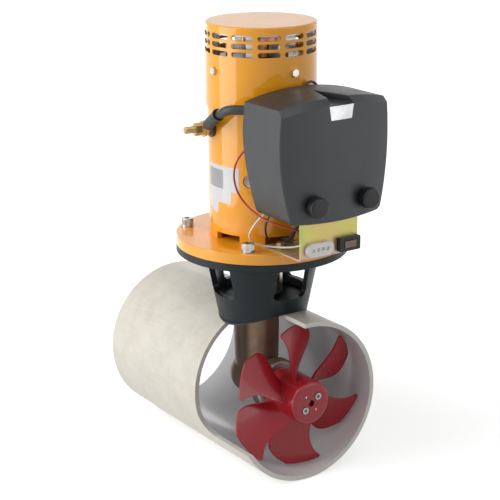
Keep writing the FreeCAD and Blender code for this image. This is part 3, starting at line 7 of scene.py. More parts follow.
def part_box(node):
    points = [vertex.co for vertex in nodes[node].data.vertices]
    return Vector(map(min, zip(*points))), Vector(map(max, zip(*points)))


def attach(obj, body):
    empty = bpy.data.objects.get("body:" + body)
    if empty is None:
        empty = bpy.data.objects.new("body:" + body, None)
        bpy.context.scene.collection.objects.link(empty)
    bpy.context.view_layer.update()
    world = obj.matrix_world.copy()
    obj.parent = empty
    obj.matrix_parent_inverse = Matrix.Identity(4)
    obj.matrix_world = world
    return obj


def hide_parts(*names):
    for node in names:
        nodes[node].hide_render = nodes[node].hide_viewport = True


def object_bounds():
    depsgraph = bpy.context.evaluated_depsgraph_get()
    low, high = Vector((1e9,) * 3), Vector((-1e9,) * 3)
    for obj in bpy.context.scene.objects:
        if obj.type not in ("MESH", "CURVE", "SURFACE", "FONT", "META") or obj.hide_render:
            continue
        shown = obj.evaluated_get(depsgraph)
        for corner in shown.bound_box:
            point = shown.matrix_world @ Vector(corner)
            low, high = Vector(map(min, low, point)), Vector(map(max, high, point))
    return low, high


# Bow thruster: finishes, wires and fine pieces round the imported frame. Metres.

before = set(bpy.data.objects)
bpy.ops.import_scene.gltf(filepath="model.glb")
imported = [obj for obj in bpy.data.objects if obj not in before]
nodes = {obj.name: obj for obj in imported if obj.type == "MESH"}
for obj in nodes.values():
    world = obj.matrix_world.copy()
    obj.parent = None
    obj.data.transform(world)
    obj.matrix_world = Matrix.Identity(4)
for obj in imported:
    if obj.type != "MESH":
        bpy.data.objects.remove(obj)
cadLow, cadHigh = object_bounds()
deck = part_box("motor_flange")[1].z        # top of the motor flange
mm = 0.001


cameraSetup = {
    "place": (-0.9772, -1.4021, 0.6894),
    "azimuth": -34.67,
    "pitch": 16.36,
    "roll": -0.38,
    "lens": 107.76,
    "shiftX": -0.014,
    "shiftY": -0.0388,
}


def makeCamera(s):
    data = bpy.data.cameras.new("camera")
    camera = bpy.data.objects.new("camera", data)
    bpy.context.scene.collection.objects.link(camera)
    around = math.radians(s["azimuth"])
    down = math.radians(s["pitch"])
    look = Vector((-math.sin(around) * math.cos(down), math.cos(around) * math.cos(down), -math.sin(down)))
    camera.rotation_mode = "QUATERNION"
    roll = Quaternion((0, 0, 1), math.radians(s["roll"]))
    camera.rotation_quaternion = look.to_track_quat("-Z", "Y") @ roll
    camera.location = s["place"]
    data.lens = s["lens"]
    data.sensor_width = 36
    data.shift_x = s["shiftX"]
    data.shift_y = s["shiftY"]
    data.clip_start = 0.05
    data.clip_end = 50
    bpy.context.scene.camera = camera


makeCamera(cameraSetup)
print("camera ready")


class Finish:
    # one material with its shader and the few nodes that most finishes share
    def __init__(self, name, colour, roughness, metallic=0.0, coat=0.0, coatRoughness=0.06, specular=0.5):
        self.material = bpy.data.materials.new(name)
        self.material.use_nodes = True
        self.tree = self.material.node_tree
        self.tree.nodes.clear()
        self.shader = self.add("ShaderNodeBsdfPrincipled")
        self.output = self.add("ShaderNodeOutputMaterial")
        self.link(self.shader.outputs["BSDF"], self.output.inputs["Surface"])
        self.shader.inputs["Base Color"].default_value = (*colour, 1)
        self.shader.inputs["Roughness"].default_value = roughness
        self.shader.inputs["Metallic"].default_value = metallic
        self.shader.inputs["Coat Weight"].default_value = coat
        self.shader.inputs["Coat Roughness"].default_value = coatRoughness
        self.shader.inputs["Specular IOR Level"].default_value = specular
        self.coords = self.add("ShaderNodeTexCoord").outputs["Object"]
        self.normal = None
        self.material.diffuse_color = (*colour, 1)

    def add(self, kind, **settings):
        node = self.tree.nodes.new(kind)
        for key, value in settings.items():
            setattr(node, key, value)
        return node

    def link(self, start, end):
        self.tree.links.new(start, end)

    def math(self, operation, first, second=0.0, clamp=False):
        node = self.add("ShaderNodeMath", operation=operation, use_clamp=clamp)
        for socket, value in zip(node.inputs, (first, second)):
            if isinstance(value, (int, float)):
                socket.default_value = value
            else:
                self.link(value, socket)
        return node.outputs[0]

    def mapped(self, scale=(1, 1, 1), turn=(0, 0, 0), source=None):
        node = self.add("ShaderNodeMapping")
        node.inputs["Scale"].default_value = scale
        node.inputs["Rotation"].default_value = [math.radians(a) for a in turn]
        self.link(source or self.coords, node.inputs["Vector"])
        return node.outputs[0]

    def noise(self, scale, detail=3.0, rough=0.5, distortion=0.0, source=None):
        node = self.add("ShaderNodeTexNoise")
        node.inputs["Scale"].default_value = scale
        node.inputs["Detail"].default_value = detail
        node.inputs["Roughness"].default_value = rough
        node.inputs["Distortion"].default_value = distortion
        self.link(source or self.coords, node.inputs["Vector"])
        return node.outputs["Fac"]

    def ramp(self, factor, stops):
        node = self.add("ShaderNodeValToRGB")
        marks = node.color_ramp.elements
        while len(marks) < len(stops):
            marks.new(0.5)
        for mark, (place, colour) in zip(marks, stops):
            mark.position = place
            mark.color = (*colour, 1)
        self.link(factor, node.inputs["Fac"])
        return node.outputs["Color"]

    def spread(self, factor, low, high, toLow=0.0, toHigh=1.0):
        node = self.add("ShaderNodeMapRange")
        for key, value in (("From Min", low), ("From Max", high), ("To Min", toLow), ("To Max", toHigh)):
            node.inputs[key].default_value = value
        self.link(factor, node.inputs["Value"])
        return node.outputs["Result"]

    def mix(self, factor, first, second):
        node = self.add("ShaderNodeMix", data_type="RGBA")
        for key, value in ((0, factor), (6, first), (7, second)):
            if isinstance(value, tuple):
                node.inputs[key].default_value = (*value, 1)
            elif isinstance(value, (int, float)):
                node.inputs[key].default_value = value
            else:
                self.link(value, node.inputs[key])
        return node.outputs[2]

    def blendValue(self, factor, first, second):
        node = self.add("ShaderNodeMix", data_type="FLOAT")
        for key, value in ((0, factor), (2, first), (3, second)):
            if isinstance(value, (int, float)):
                node.inputs[key].default_value = value
            else:
                self.link(value, node.inputs[key])
        return node.outputs[0]

    def softEdges(self, radius):
        node = self.add("ShaderNodeBevel", samples=4)
        node.inputs["Radius"].default_value = radius
        self.normal = node.outputs["Normal"]
        self.link(self.normal, self.shader.inputs["Normal"])

    def bump(self, height, distance, strength=1.0):
        node = self.add("ShaderNodeBump")
        node.inputs["Distance"].default_value = distance
        if isinstance(strength, (int, float)):
            node.inputs["Strength"].default_value = strength
        else:
            self.link(strength, node.inputs["Strength"])
        self.link(height, node.inputs["Height"])
        if self.normal is not None:
            self.link(self.normal, node.inputs["Normal"])
        self.normal = node.outputs["Normal"]
        self.link(self.normal, self.shader.inputs["Normal"])

    def colour(self, source):
        self.link(source, self.shader.inputs["Base Color"])

    def roughness(self, source):
        self.link(source, self.shader.inputs["Roughness"])


def shade(colour, amount):
    return tuple(min(1.0, c * amount) for c in colour)


def painted(name, colour, roughness, coat, peel, edge, peelScale=320, specular=0.5):
    f = Finish(name, colour, roughness, coat=coat, coatRoughness=0.03, specular=specular)
    f.softEdges(edge)
    f.colour(f.ramp(f.noise(9, 4), [(0.35, shade(colour, 0.94)), (0.65, shade(colour, 1.04))]))
    f.roughness(f.spread(f.noise(60, 5), 0.3, 0.7, roughness * 0.85, roughness * 1.2))
    f.bump(f.noise(peelScale, 2), 0.0002, peel)
    return f.material


def castMetal(name, colour, roughness, metallic, grain, edge, coat=0.0):
    f = Finish(name, colour, roughness, metallic, coat, 0.2, 0.35)
    f.softEdges(edge)
    patches = f.noise(26, 6, 0.6)
    f.colour(f.ramp(patches, [(0.3, shade(colour, 0.74)), (0.5, colour), (0.72, shade(colour, 1.2))]))
    f.roughness(f.spread(f.noise(90, 5), 0.3, 0.7, roughness * 0.8, roughness * 1.25))
    f.bump(f.noise(520, 4, 0.6), 0.0004, grain)
    return f.material


def machined(name, colour, roughness, turn=(0, 0, 0), stretch=(1, 1, 18), edge=0.0003):
    f = Finish(name, colour, roughness, 1.0)
    f.softEdges(edge)
    lines = f.noise(500, 3, source=f.mapped(stretch, turn))
    f.colour(f.ramp(f.noise(70, 4), [(0.35, shade(colour, 0.82)), (0.68, shade(colour, 1.1))]))
    f.roughness(f.spread(lines, 0.3, 0.7, roughness * 0.7, roughness * 1.4))
    f.bump(lines, 0.0001, 0.25)
    return f.material


def moulded(name, colour, roughness, grain, grainScale=1500, edge=0.0008, coat=0.0, specular=0.4):
    f = Finish(name, colour, roughness, coat=coat, specular=specular)
    f.softEdges(edge)
    f.colour(f.ramp(f.noise(14, 4), [(0.3, shade(colour, 0.92)), (0.7, shade(colour, 1.08))]))
    f.roughness(f.spread(f.noise(40, 5), 0.3, 0.7, roughness * 0.88, roughness * 1.12))
    f.bump(f.noise(grainScale, 2), 0.00025, grain)
    return f.material


def rubbery(name, colour, roughness=0.55):
    f = Finish(name, colour, roughness, specular=0.4)
    f.colour(f.ramp(f.noise(120, 4), [(0.3, shade(colour, 0.8)), (0.7, shade(colour, 1.25))]))
    f.roughness(f.spread(f.noise(300, 4), 0.3, 0.7, roughness * 0.85, roughness * 1.2))
    f.bump(f.noise(1400, 2), 0.0001, 0.25)
    return f.material


laminate = {
    "insideR": 0.0925,
    "outsideR": 0.0975,
    "gelCoat": (0.66, 0.655, 0.67),
    "resinDark": (0.56, 0.53, 0.45),
    "resinLight": (0.65, 0.62, 0.54),
    "strand": (0.80, 0.78, 0.71),
    "edge": (0.66, 0.65, 0.61),
}


def tunnelFinish(s):
    # smooth gel coat inside, bare strand mat outside, and a sawn edge between
    f = Finish("glassFibre", s["resinLight"], 0.4, coat=0.2, coatRoughness=0.14)
    f.softEdges(0.0006)
    parts = f.add("ShaderNodeSeparateXYZ")
    f.link(f.coords, parts.inputs[0])
    x, y, z = parts.outputs
    radius = f.math("SQRT", f.math("ADD", f.math("MULTIPLY", x, x), f.math("MULTIPLY", z, z)))
    outside = f.spread(radius, s["outsideR"] - 0.0012, s["outsideR"] - 0.0006)
    inside = f.spread(radius, s["insideR"] + 0.0003, s["insideR"] + 0.0008, 1.0, 0.0)
    unrolled = f.add("ShaderNodeCombineXYZ")
    f.link(f.math("MULTIPLY", f.math("ARCTAN2", x, z), s["outsideR"]), unrolled.inputs[0])
    f.link(y, unrolled.inputs[1])
    layers = []
    for turn, scale in ((18, 420), (74, 380), (126, 460)):
        # strands run one way in each layer
        along = f.mapped((scale, 30, 1), (0, 0, turn), unrolled.outputs[0])
        layers.append(f.noise(1.0, 4, 0.6, 0.6, along))
    weave = f.math("MAXIMUM", f.math("MAXIMUM", layers[0], layers[1]), layers[2])
    cloud = f.noise(34, 5, 0.6)
    resin = f.ramp(cloud, [(0.28, s["resinDark"]), (0.6, s["resinLight"])])
    strands = f.spread(weave, 0.58, 0.78)
    mat = f.mix(f.math("MULTIPLY", strands, 0.5), resin, s["strand"])
    grain = f.noise(900, 3, source=f.mapped((1, 6, 1)))
    sawn = f.ramp(grain, [(0.35, shade(s["edge"], 0.86)), (0.65, s["edge"])])
    f.colour(f.mix(inside, f.mix(outside, sawn, mat), s["gelCoat"]))
    f.roughness(f.blendValue(inside, f.spread(cloud, 0.3, 0.7, 0.42, 0.58), 0.2))
    relief = f.math("ADD", f.math("MULTIPLY", weave, 0.8), f.math("MULTIPLY", cloud, 0.3))
    f.bump(relief, 0.001, f.math("MULTIPLY", outside, 0.4))
    return f.material


def passivated():
    # thin rainbow of the yellow passivation over rolled sheet, pinker towards the bent foot
    f = Finish("passivatedSheet", (0.55, 0.5, 0.3), 0.36, 0.55, specular=0.4)
    f.softEdges(0.0004)
    parts = f.add("ShaderNodeSeparateXYZ")
    f.link(f.coords, parts.inputs[0])
    film = f.noise(13, 3, 0.5, 1.4)
    upper = f.ramp(film, [
        (0.30, (0.56, 0.42, 0.15)), (0.42, (0.50, 0.48, 0.13)), (0.52, (0.32, 0.46, 0.15)),
        (0.60, (0.24, 0.44, 0.26)), (0.70, (0.48, 0.45, 0.11)), (0.80, (0.56, 0.37, 0.20))])
    lower = f.ramp(film, [
        (0.35, (0.52, 0.35, 0.24)), (0.55, (0.50, 0.43, 0.18)), (0.72, (0.54, 0.36, 0.27))])
    height = f.math("ADD", parts.outputs[2], f.math("MULTIPLY", film, 0.012))
    f.colour(f.mix(f.spread(height, deck + 0.012, deck + 0.030), lower, upper))
    rolled = f.noise(300, 3, source=f.mapped((1, 1, 14)))
    f.roughness(f.spread(rolled, 0.3, 0.7, 0.28, 0.44))
    f.bump(rolled, 0.0001, 0.15)
    return f.material


def milky(name, colour, passing):
    f = Finish(name, colour, 0.26, coat=0.3)
    f.softEdges(0.0005)
    f.shader.inputs["Transmission Weight"].default_value = passing
    f.colour(f.ramp(f.noise(60, 3), [(0.3, shade(colour, 0.93)), (0.7, colour)]))
    f.bump(f.noise(900, 2), 0.0001, 0.2)
    return f.material


finishes = {
    "yellowEnamel": painted("yellowEnamel", (0.88, 0.36, 0.008), 0.3, 0.75, 0.015, 0.0010, 320, 0.15),
    "bracketPaint": painted("bracketPaint", (0.004, 0.009, 0.011), 0.4, 0.0, 0.3, 0.0015, 420, 0.25),
    "bronze": castMetal("castBronze", (0.23, 0.165, 0.11), 0.42, 0.4, 0.4, 0.0012),
    "castAlloy": castMetal("castAlloy", (0.42, 0.42, 0.41), 0.45, 0.85, 0.3, 0.0008),
    "zincAnode": castMetal("zincAnode", (0.50, 0.50, 0.50), 0.5, 0.8, 0.45, 0.0008),
    "redPlastic": moulded("propellerRed", (0.33, 0.010, 0.018), 0.3, 0.1, 900, 0.0010, 0.2, 0.35),
    "stainless": machined("stainless", (0.50, 0.49, 0.47), 0.24),
    "darkSteel": machined("darkSteel", (0.30, 0.29, 0.29), 0.3),
    "zincPlated": machined("zincPlated", (0.66, 0.64, 0.56), 0.30),
    "gearSteel": machined("gearSteel", (0.42, 0.42, 0.43), 0.28),
    "brass": machined("brass", (0.54, 0.41, 0.19), 0.28),
    "copper": machined("copper", (0.78, 0.38, 0.22), 0.3),
    "coreIron": castMetal("coreIron", (0.20, 0.20, 0.21), 0.5, 0.9, 0.3, 0.0005),
    "carbon": rubbery("carbon", (0.035, 0.035, 0.038), 0.5),
    "blackRubber": rubbery("blackRubber", (0.022, 0.022, 0.024), 0.5),
    "redRubber": rubbery("redRubber", (0.42, 0.03, 0.02), 0.45),
    "cableBlack": rubbery("cableBlack", (0.022, 0.023, 0.025), 0.36),
    "sleeveBlack": rubbery("sleeveBlack", (0.040, 0.041, 0.044), 0.6),
    "wireRed": rubbery("wireRed", (0.42, 0.018, 0.014), 0.35),
    "wireWhite": rubbery("wireWhite", (0.80, 0.78, 0.72), 0.35),
    "coverGrey": moulded("coverGrey", (0.016, 0.019, 0.021), 0.42, 0.14, 1700, 0.0012, 0.0, 0.5),
    "blackPlastic": moulded("blackPlastic", (0.010, 0.010, 0.011), 0.4, 0.1, 1500, 0.0008, 0.0, 0.3),
    "phenolic": moulded("phenolic", (0.05, 0.032, 0.022), 0.4, 0.1),
    "milkyPlastic": milky("milkyPlastic", (0.92, 0.91, 0.88), 0.1),
    "smokyPlastic": milky("smokyPlastic", (0.20, 0.11, 0.06), 0.3),
    "badgeMetal": machined("badgeMetal", (0.55, 0.55, 0.56), 0.3, (0, 90, 0)),
    "sheetLabel": moulded("sheetLabel", (0.60, 0.60, 0.61), 0.4, 0.03, 700, 0.0001, 0.4),
    "greyLabel": moulded("greyLabel", (0.30, 0.30, 0.32), 0.4, 0.03, 700, 0.0001, 0.4),
    "looseStrand": moulded("looseStrand", (0.66, 0.65, 0.60), 0.4, 0.05, 700, 0.0001),
    "glassFibre": tunnelFinish(laminate),
    "passivated": passivated(),
}

nodeFinishes = {
    "yellowEnamel": ["motor_flange", "motor_yoke", "motor_cap"],
    "bracketPaint": ["mounting_bracket"],
    "bronze": ["tail_piece", "tail_cap"],
    "castAlloy": ["end_bracket"],
    "zincAnode": ["anode_ring"],
    "redPlastic": ["propeller"],
    "stainless": ["tail_bolts", "drive_dowels", "propeller_shaft", "drive_shaft", "flange_washers",
                  "flange_bolts", "brush_holders", "gear_case_bearings", "motor_bearings"],
    "darkSteel": ["propeller_screws"],
    "zincPlated": ["bearing_spacer", "coupling_lower_hub", "coupling_upper_hub", "cap_screws", "press_nuts",
                   "plate_screws"],
    "gearSteel": ["bevel_gear", "bevel_pinion", "motor_shaft"],
    "brass": ["terminal_nuts", "terminal_stud"],
    "copper": ["field_coils", "armature_windings", "commutator", "cable_lug", "contactor_studs"],
    "coreIron": ["pole_shoes", "armature_core"],
    "carbon": ["brushes"],
    "blackRubber": ["saddle_gasket", "propeller_seal", "drive_seal"],
    "redRubber": ["coupling_spider"],
    "sleeveBlack": ["cable_sleeve"],
    "coverGrey": ["cover"],
    "blackPlastic": ["contactor", "fuse_holder", "knob_left", "knob_right"],
    "phenolic": ["terminal_insulator"],
    "milkyPlastic": ["connector"],
    "smokyPlastic": ["fuse"],
    "badgeMetal": ["badge_plate"],
    "glassFibre": ["tunnel"],
    "passivated": ["control_plate"],
    "cableBlack": ["power_cable", "black_wire", "harness_cable", "bridge_lead"],
    "wireRed": ["red_wire"],
    "wireWhite": ["white_wire"],
}


def dress(obj, finish):
    obj.data.materials.clear()
    obj.data.materials.append(finishes[finish])


for finish, names in nodeFinishes.items():
    for name in names:
        dress(nodes[name], finish)
print("finishes on", sum(len(names) for names in nodeFinishes.values()), "frame pieces")


def linked(name, data):
    obj = bpy.data.objects.new(name, data)
    bpy.context.scene.collection.objects.link(obj)
    return obj


cords = {
    "powerCable": {
        "node": "power_cable", "radius": 5.5, "finish": "cableBlack", "stiffness": "limp",
        "points": [(-74.245, -7.870, 142.24), (-79.024, -34.976, 158.57), (-71.5, -55.5, 164),
                   (-34, -94, 162)],
    },
    "redWire": {
        "node": "red_wire", "radius": 1.1, "finish": "wireRed", "stiffness": "limp",
        "points": [(-30.3, -104, 142), (-44, -104, 142), (-57, -86, 135), (-66, -64, 121), (-69, -46, 100),
                   (-67, -40, 78), (-62, -46, 58), (-56, -66, 44), (-51, -90, 38), (-40, -112, 34),
                   (-24, -124, 29), (-24, -124, 16.2)],
    },
    "blackWire": {
        "node": "black_wire", "radius": 1.1, "finish": "cableBlack", "stiffness": "limp",
        "points": [(-22, -106, 81), (-22, -106, 68), (-30, -90, 57), (-41, -76, 45), (-43, -67, 27),
                   (-38, -63, 12), (-29, -57, 5.0), (-23, -46, 4.6)],
    },
    "whiteWire": {
        "node": "white_wire", "radius": 1.1, "finish": "wireWhite", "stiffness": "limp",
        "points": [(-12, -106, 81), (-12, -106, 69), (-26, -92, 62), (-45, -79, 51), (-56, -62, 29),
                   (-57, -53, 12), (-50, -60, 4.6), (-38, -78, 4.2), (-26, -97, 6), (-19, -110, 11.5),
                   (-19, -119, 11.5)],
    },
    "harnessCable": {
        "node": "harness_cable", "radius": 2.8, "finish": "cableBlack", "stiffness": "limp",
        "points": [(-15, -112, 81), (-15, -112, 57), (-24, -102, 32), (-20, -86, 14), (-14, -72, 5.4),
                   (-11, -54, 5.0)],
    },
    "bridgeLead": {
        "node": "bridge_lead", "radius": 1.5, "finish": "cableBlack", "stiffness": "limp",
        "points": [(3, -67.4, 158), (6.5, -67.4, 175), (21, -67.4, 190), (36.5, -67.6, 174), (39, -73, 156),
                   (34, -90, 149), (23.75, -104.55, 154)],
    },
}


def smoothLine(name, points, radius=0.0):
    data = bpy.data.curves.new(name, "CURVE")
    data.dimensions = "3D"
    data.resolution_u = 10
    data.bevel_depth = radius
    data.bevel_resolution = 5
    data.use_fill_caps = radius > 0
    spline = data.splines.new("NURBS")
    spline.points.add(len(points) - 1)
    for spot, place in zip(spline.points, points):
        spot.co = (*place, 1)
    spline.order_u = 3
    spline.use_endpoint_u = True
    return linked(name, data)


def lineOf(name, points):
    # the smooth line itself, as a list of points
    guide = smoothLine(name, points)
    bpy.context.view_layer.update()
    mesh = bpy.data.meshes.new_from_object(guide.evaluated_get(bpy.context.evaluated_depsgraph_get()))
    line = [v.co.copy() for v in mesh.vertices]
    bpy.data.meshes.remove(mesh)
    bpy.data.objects.remove(guide)
    return line


def runCord(name, s):
    points = [Vector((x * mm, y * mm, deck + z * mm)) for x, y, z in s["points"]]
    line = lineOf(name + "Guide", points)
    piece = smoothLine(name, points, s["radius"] * mm)
    piece.data.materials.append(finishes[s["finish"]])
    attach(piece, "base")
    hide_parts(s["node"])


for name, s in cords.items():
    runCord(name, s)


def meshPiece(name, vertices, faces, finish, smooth=True):
    mesh = bpy.data.meshes.new(name)
    mesh.from_pydata(vertices, [], faces)
    form = bmesh.new()
    form.from_mesh(mesh)
    bmesh.ops.remove_doubles(form, verts=form.verts, dist=1e-7)
    bmesh.ops.recalc_face_normals(form, faces=form.faces)
    form.to_mesh(mesh)
    form.free()
    for face in mesh.polygons:
        face.use_smooth = smooth
    piece = linked(name, mesh)
    dress(piece, finish)
    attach(piece, "base")
    return piece


def turnedPiece(name, s):
    # profile holds (distance along the axis, radius) in mm; the last ring joins the first
    foot = Vector((s["foot"][0] * mm, s["foot"][1] * mm, deck + s["foot"][2] * mm))
    turn = Vector(s["way"]).normalized().to_track_quat("Z", "Y")
    sides = 32
    vertices, faces = [], []
    for along, radius in s["profile"]:
        for k in range(sides):
            angle = 2 * math.pi * k / sides
            ring = Vector((radius * mm * math.cos(angle), radius * mm * math.sin(angle), along * mm))
            vertices.append(foot + turn @ ring)
    rows = len(s["profile"])
    for row in range(rows):
        after = (row + 1) % rows
        for k in range(sides):
            side = (k + 1) % sides
            faces.append((row * sides + k, row * sides + side, after * sides + side, after * sides + k))
    return meshPiece(name, vertices, faces, s["finish"])


def polar(radius, degrees, height):
    return (radius * math.cos(math.radians(degrees)), radius * math.sin(math.radians(degrees)), height)


turnedPieces = {
    "sleeveLip": {
        "foot": (-77.396, -25.743, 153.008), "way": (-0.14934, -0.84706, 0.51031),
        "profile": [(-1.6, 6.6), (-1.3, 7.3), (1.1, 7.3), (1.6, 6.9), (1.6, 5.6), (0.1, 5.6), (0.1, 6.6)],
        "finish": "cableBlack", "slot": "cable_black",
    },
    "redBoot": {
        "foot": (-24, -124, 15.4), "way": (0, 0, 1),
        "profile": [(0, 0), (0, 2.3), (4.6, 2.2), (7.0, 1.5), (7.0, 0)],
        "finish": "wireRed", "slot": "wire_red",
    },
    "whiteBoot": {
        "foot": (-19, -119, 11.5), "way": (0, 1, 0),
        "profile": [(0, 0), (0, 2.4), (4.6, 2.2), (7.0, 1.4), (7.0, 0)],
        "finish": "wireWhite", "slot": "wire_white",
    },
    "redFerrule": {
        "foot": (-30.5, -104, 142), "way": (-1, 0, 0),
        "profile": [(0, 0), (0, 2.0), (6.0, 2.0), (8.0, 1.4), (8.0, 0)],
        "finish": "wireRed", "slot": "wire_red",
    },
    "peepBush": {
        "foot": polar(56.5, 221.5, 74), "way": polar(1, 221.5, 0),
        "profile": [(0, 0), (0, 6.9), (3.4, 6.9), (3.9, 6.4), (3.9, 5.2), (2.2, 4.8), (2.0, 0)],
        "finish": "wireWhite",
    },
}
for k in range(4):
    # one brass contact in each way of the control socket
    turnedPieces["contact%d" % (k + 1)] = {
        "foot": (-15.25 + 6.6 * (k - 1.5), -131.2, 11.5), "way": (0, -1, 0),
        "profile": [(0, 0), (0, 2.15), (2.4, 2.15), (2.4, 1.3), (0.4, 1.3), (0.4, 0)],
        "finish": "zincPlated", "slot": "copper",
    }
for name, s in turnedPieces.items():
    turnedPiece(name, s)
print("turned pieces", len(turnedPieces))


labels = {
    # the plain sheet stuck on the motor: upper and lower edge in mm at each angle in degrees
    "motorLabel": {
        "radius": 62.5, "thickness": 0.14, "finish": "sheetLabel",
        "edges": [(163, 89, 38), (178, 89, 30.5), (181, 89, 34), (182.5, 89, 45), (200.7, 89, 45.5),
                  (200.7, 89, 59.6), (210.5, 88.7, 59.6)],
    },
    "motorLabelField": {
        "radius": 62.6, "thickness": 0.08, "finish": "greyLabel",
        "edges": [(163, 84, 62), (190, 84, 62)],
    },
}


def wrapLabel(name, s):
    columns = []
    for (a0, top0, low0), (a1, top1, low1) in zip(s["edges"], s["edges"][1:]):
        steps = max(1, round((a1 - a0) / 1.5))
        for k in range(steps):
            share = k / steps
            top = top0 + (top1 - top0) * share
            low = low0 + (low1 - low0) * share
            columns.append((a0 + (a1 - a0) * share, top, low))
    columns.append(s["edges"][-1])
    vertices, faces = [], []
    for angle, top, low in columns:
        for radius in (s["radius"], s["radius"] + s["thickness"]):
            for height in (low, top):
                x, y, z = polar(radius, angle, height)
                vertices.append((x * mm, y * mm, deck + z * mm))
    last = len(columns) - 1
    # four corners per column: low and high inside, then low and high outside
    for k in range(last):
        i, j = 4 * k, 4 * k + 4
        for a, b in ((0, 1), (1, 3), (3, 2), (2, 0)):
            faces.append((i + a, i + b, j + b, j + a))
    faces.append((0, 1, 3, 2))
    faces.append((4 * last, 4 * last + 1, 4 * last + 3, 4 * last + 2))
    meshPiece(name, vertices, faces, s["finish"], smooth=False)


for name, s in labels.items():
    wrapLabel(name, s)
print("labels", len(labels))


class Growth:
    # one tree of Geometry Nodes with named inputs
    def __init__(self, name, inputs):
        self.group = bpy.data.node_groups.new(name, "GeometryNodeTree")
        face = self.group.interface
        face.new_socket("Geometry", in_out="INPUT", socket_type="NodeSocketGeometry")
        face.new_socket("Geometry", in_out="OUTPUT", socket_type="NodeSocketGeometry")
        for label, value in inputs.items():
            kind = "NodeSocketInt" if isinstance(value, int) else "NodeSocketFloat"
            kind = "NodeSocketVector" if isinstance(value, tuple) else kind
            face.new_socket(label, in_out="INPUT", socket_type=kind).default_value = value
        self.start = self.add("NodeGroupInput")
        self.end = self.add("NodeGroupOutput")

    def add(self, kind, sockets=None, **settings):
        node = self.group.nodes.new(kind)
        for key, value in settings.items():
            setattr(node, key, value)
        for key, value in (sockets or {}).items():
            socket = node.inputs[key]
            if isinstance(value, str):
                self.link(self.start.outputs[value], socket)
            elif isinstance(value, bpy.types.NodeSocket):
                self.link(value, socket)
            else:
                socket.default_value = value
        return node

    def link(self, first, second):
        self.group.links.new(first, second)

    def math(self, operation, first, second):
        node = self.add("ShaderNodeMath", {0: first, 1: second}, operation=operation)
        return node.outputs[0]

    def close(self, geometry, finish):
        realized = self.add("GeometryNodeRealizeInstances", {"Geometry": geometry})
        dressed = self.add("GeometryNodeSetMaterial", {"Geometry": realized.outputs[0]})
        dressed.inputs["Material"].default_value = finishes[finish]
        self.link(dressed.outputs[0], self.end.inputs[0])


def grow(name, tree, base, slot, **values):
    holder = linked(name, base)
    modifier = holder.modifiers.new("grow", "NODES")
    modifier.node_group = tree.group
    for item in tree.group.interface.items_tree:
        if item.item_type == "SOCKET" and item.in_out == "INPUT" and item.name in values:
            modifier[item.identifier] = values[item.name]
    bpy.context.view_layer.update()
    mesh = bpy.data.meshes.new_from_object(holder.evaluated_get(bpy.context.evaluated_depsgraph_get()))
    holder.modifiers.remove(modifier)
    holder.data = mesh
    bpy.data.meshes.remove(base)
    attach(holder, "base")
    print(name, "faces", len(mesh.polygons))


knurls = {
    "Bolts": 4, "Bolt Circle": 0.091, "Ribs": 46, "Head Radius": 0.0069, "Rib Width": 0.00050,
    "Rib Height": 0.0066, "Base": deck + 0.0016 + 0.0046,
}


def knurlTree():
    tree = Growth("knurledHeads", knurls)
    eighth = (0, 0, math.radians(45))
    places = tree.add("GeometryNodeMeshCircle", {"Vertices": "Bolts", "Radius": "Bolt Circle"})
    ring = tree.add("GeometryNodeMeshCircle", {"Vertices": "Ribs", "Radius": "Head Radius"})
    size = tree.add("ShaderNodeCombineXYZ", {0: "Rib Width", 1: "Rib Width", 2: "Rib Height"})
    rib = tree.add("GeometryNodeMeshCube", {"Size": size.outputs[0]})
    rib = tree.add("GeometryNodeTransform", {"Geometry": rib.outputs[0], "Rotation": eighth})
    where = tree.add("GeometryNodeInputPosition")
    facing = tree.add("FunctionNodeAlignRotationToVector", {"Vector": where.outputs[0]}, axis="X")
    ribs = tree.add("GeometryNodeInstanceOnPoints", {
        "Points": ring.outputs[0], "Instance": rib.outputs[0], "Rotation": facing.outputs[0]})
    heads = tree.add("GeometryNodeInstanceOnPoints", {
        "Points": places.outputs[0], "Instance": ribs.outputs[0]})
    lift = tree.add("ShaderNodeCombineXYZ", {2: "Base"})
    moved = tree.add("GeometryNodeTransform", {
        "Geometry": heads.outputs[0], "Translation": lift.outputs[0], "Rotation": eighth})
    tree.close(moved.outputs[0], "stainless")
    return tree


grow("boltKnurls", knurlTree(), bpy.data.meshes.new("knurlStart"), slot="stainless")

threadSizes = {
    "Turns": 9.0, "Radius": 0.004, "Length": 0.011, "Wire": 0.00032,
    "Place": (0.0, 0.0, 0.0), "Turn": (0.0, 0.0, 0.0),
}


def threadTree(finish):
    tree = Growth("thread" + finish, threadSizes)
    spiral = tree.add("GeometryNodeCurveSpiral", {
        "Resolution": 28, "Rotations": "Turns", "Start Radius": "Radius", "End Radius": "Radius",
        "Height": "Length"})
    profile = tree.add("GeometryNodeCurvePrimitiveCircle", {"Resolution": 5, "Radius": "Wire"})
    tube = tree.add("GeometryNodeCurveToMesh", {
        "Curve": spiral.outputs[0], "Profile Curve": profile.outputs[0], "Fill Caps": True})
    moved = tree.add("GeometryNodeTransform", {
        "Geometry": tube.outputs[0], "Translation": "Place", "Rotation": "Turn"})
    tree.close(moved.outputs[0], finish)
    return tree


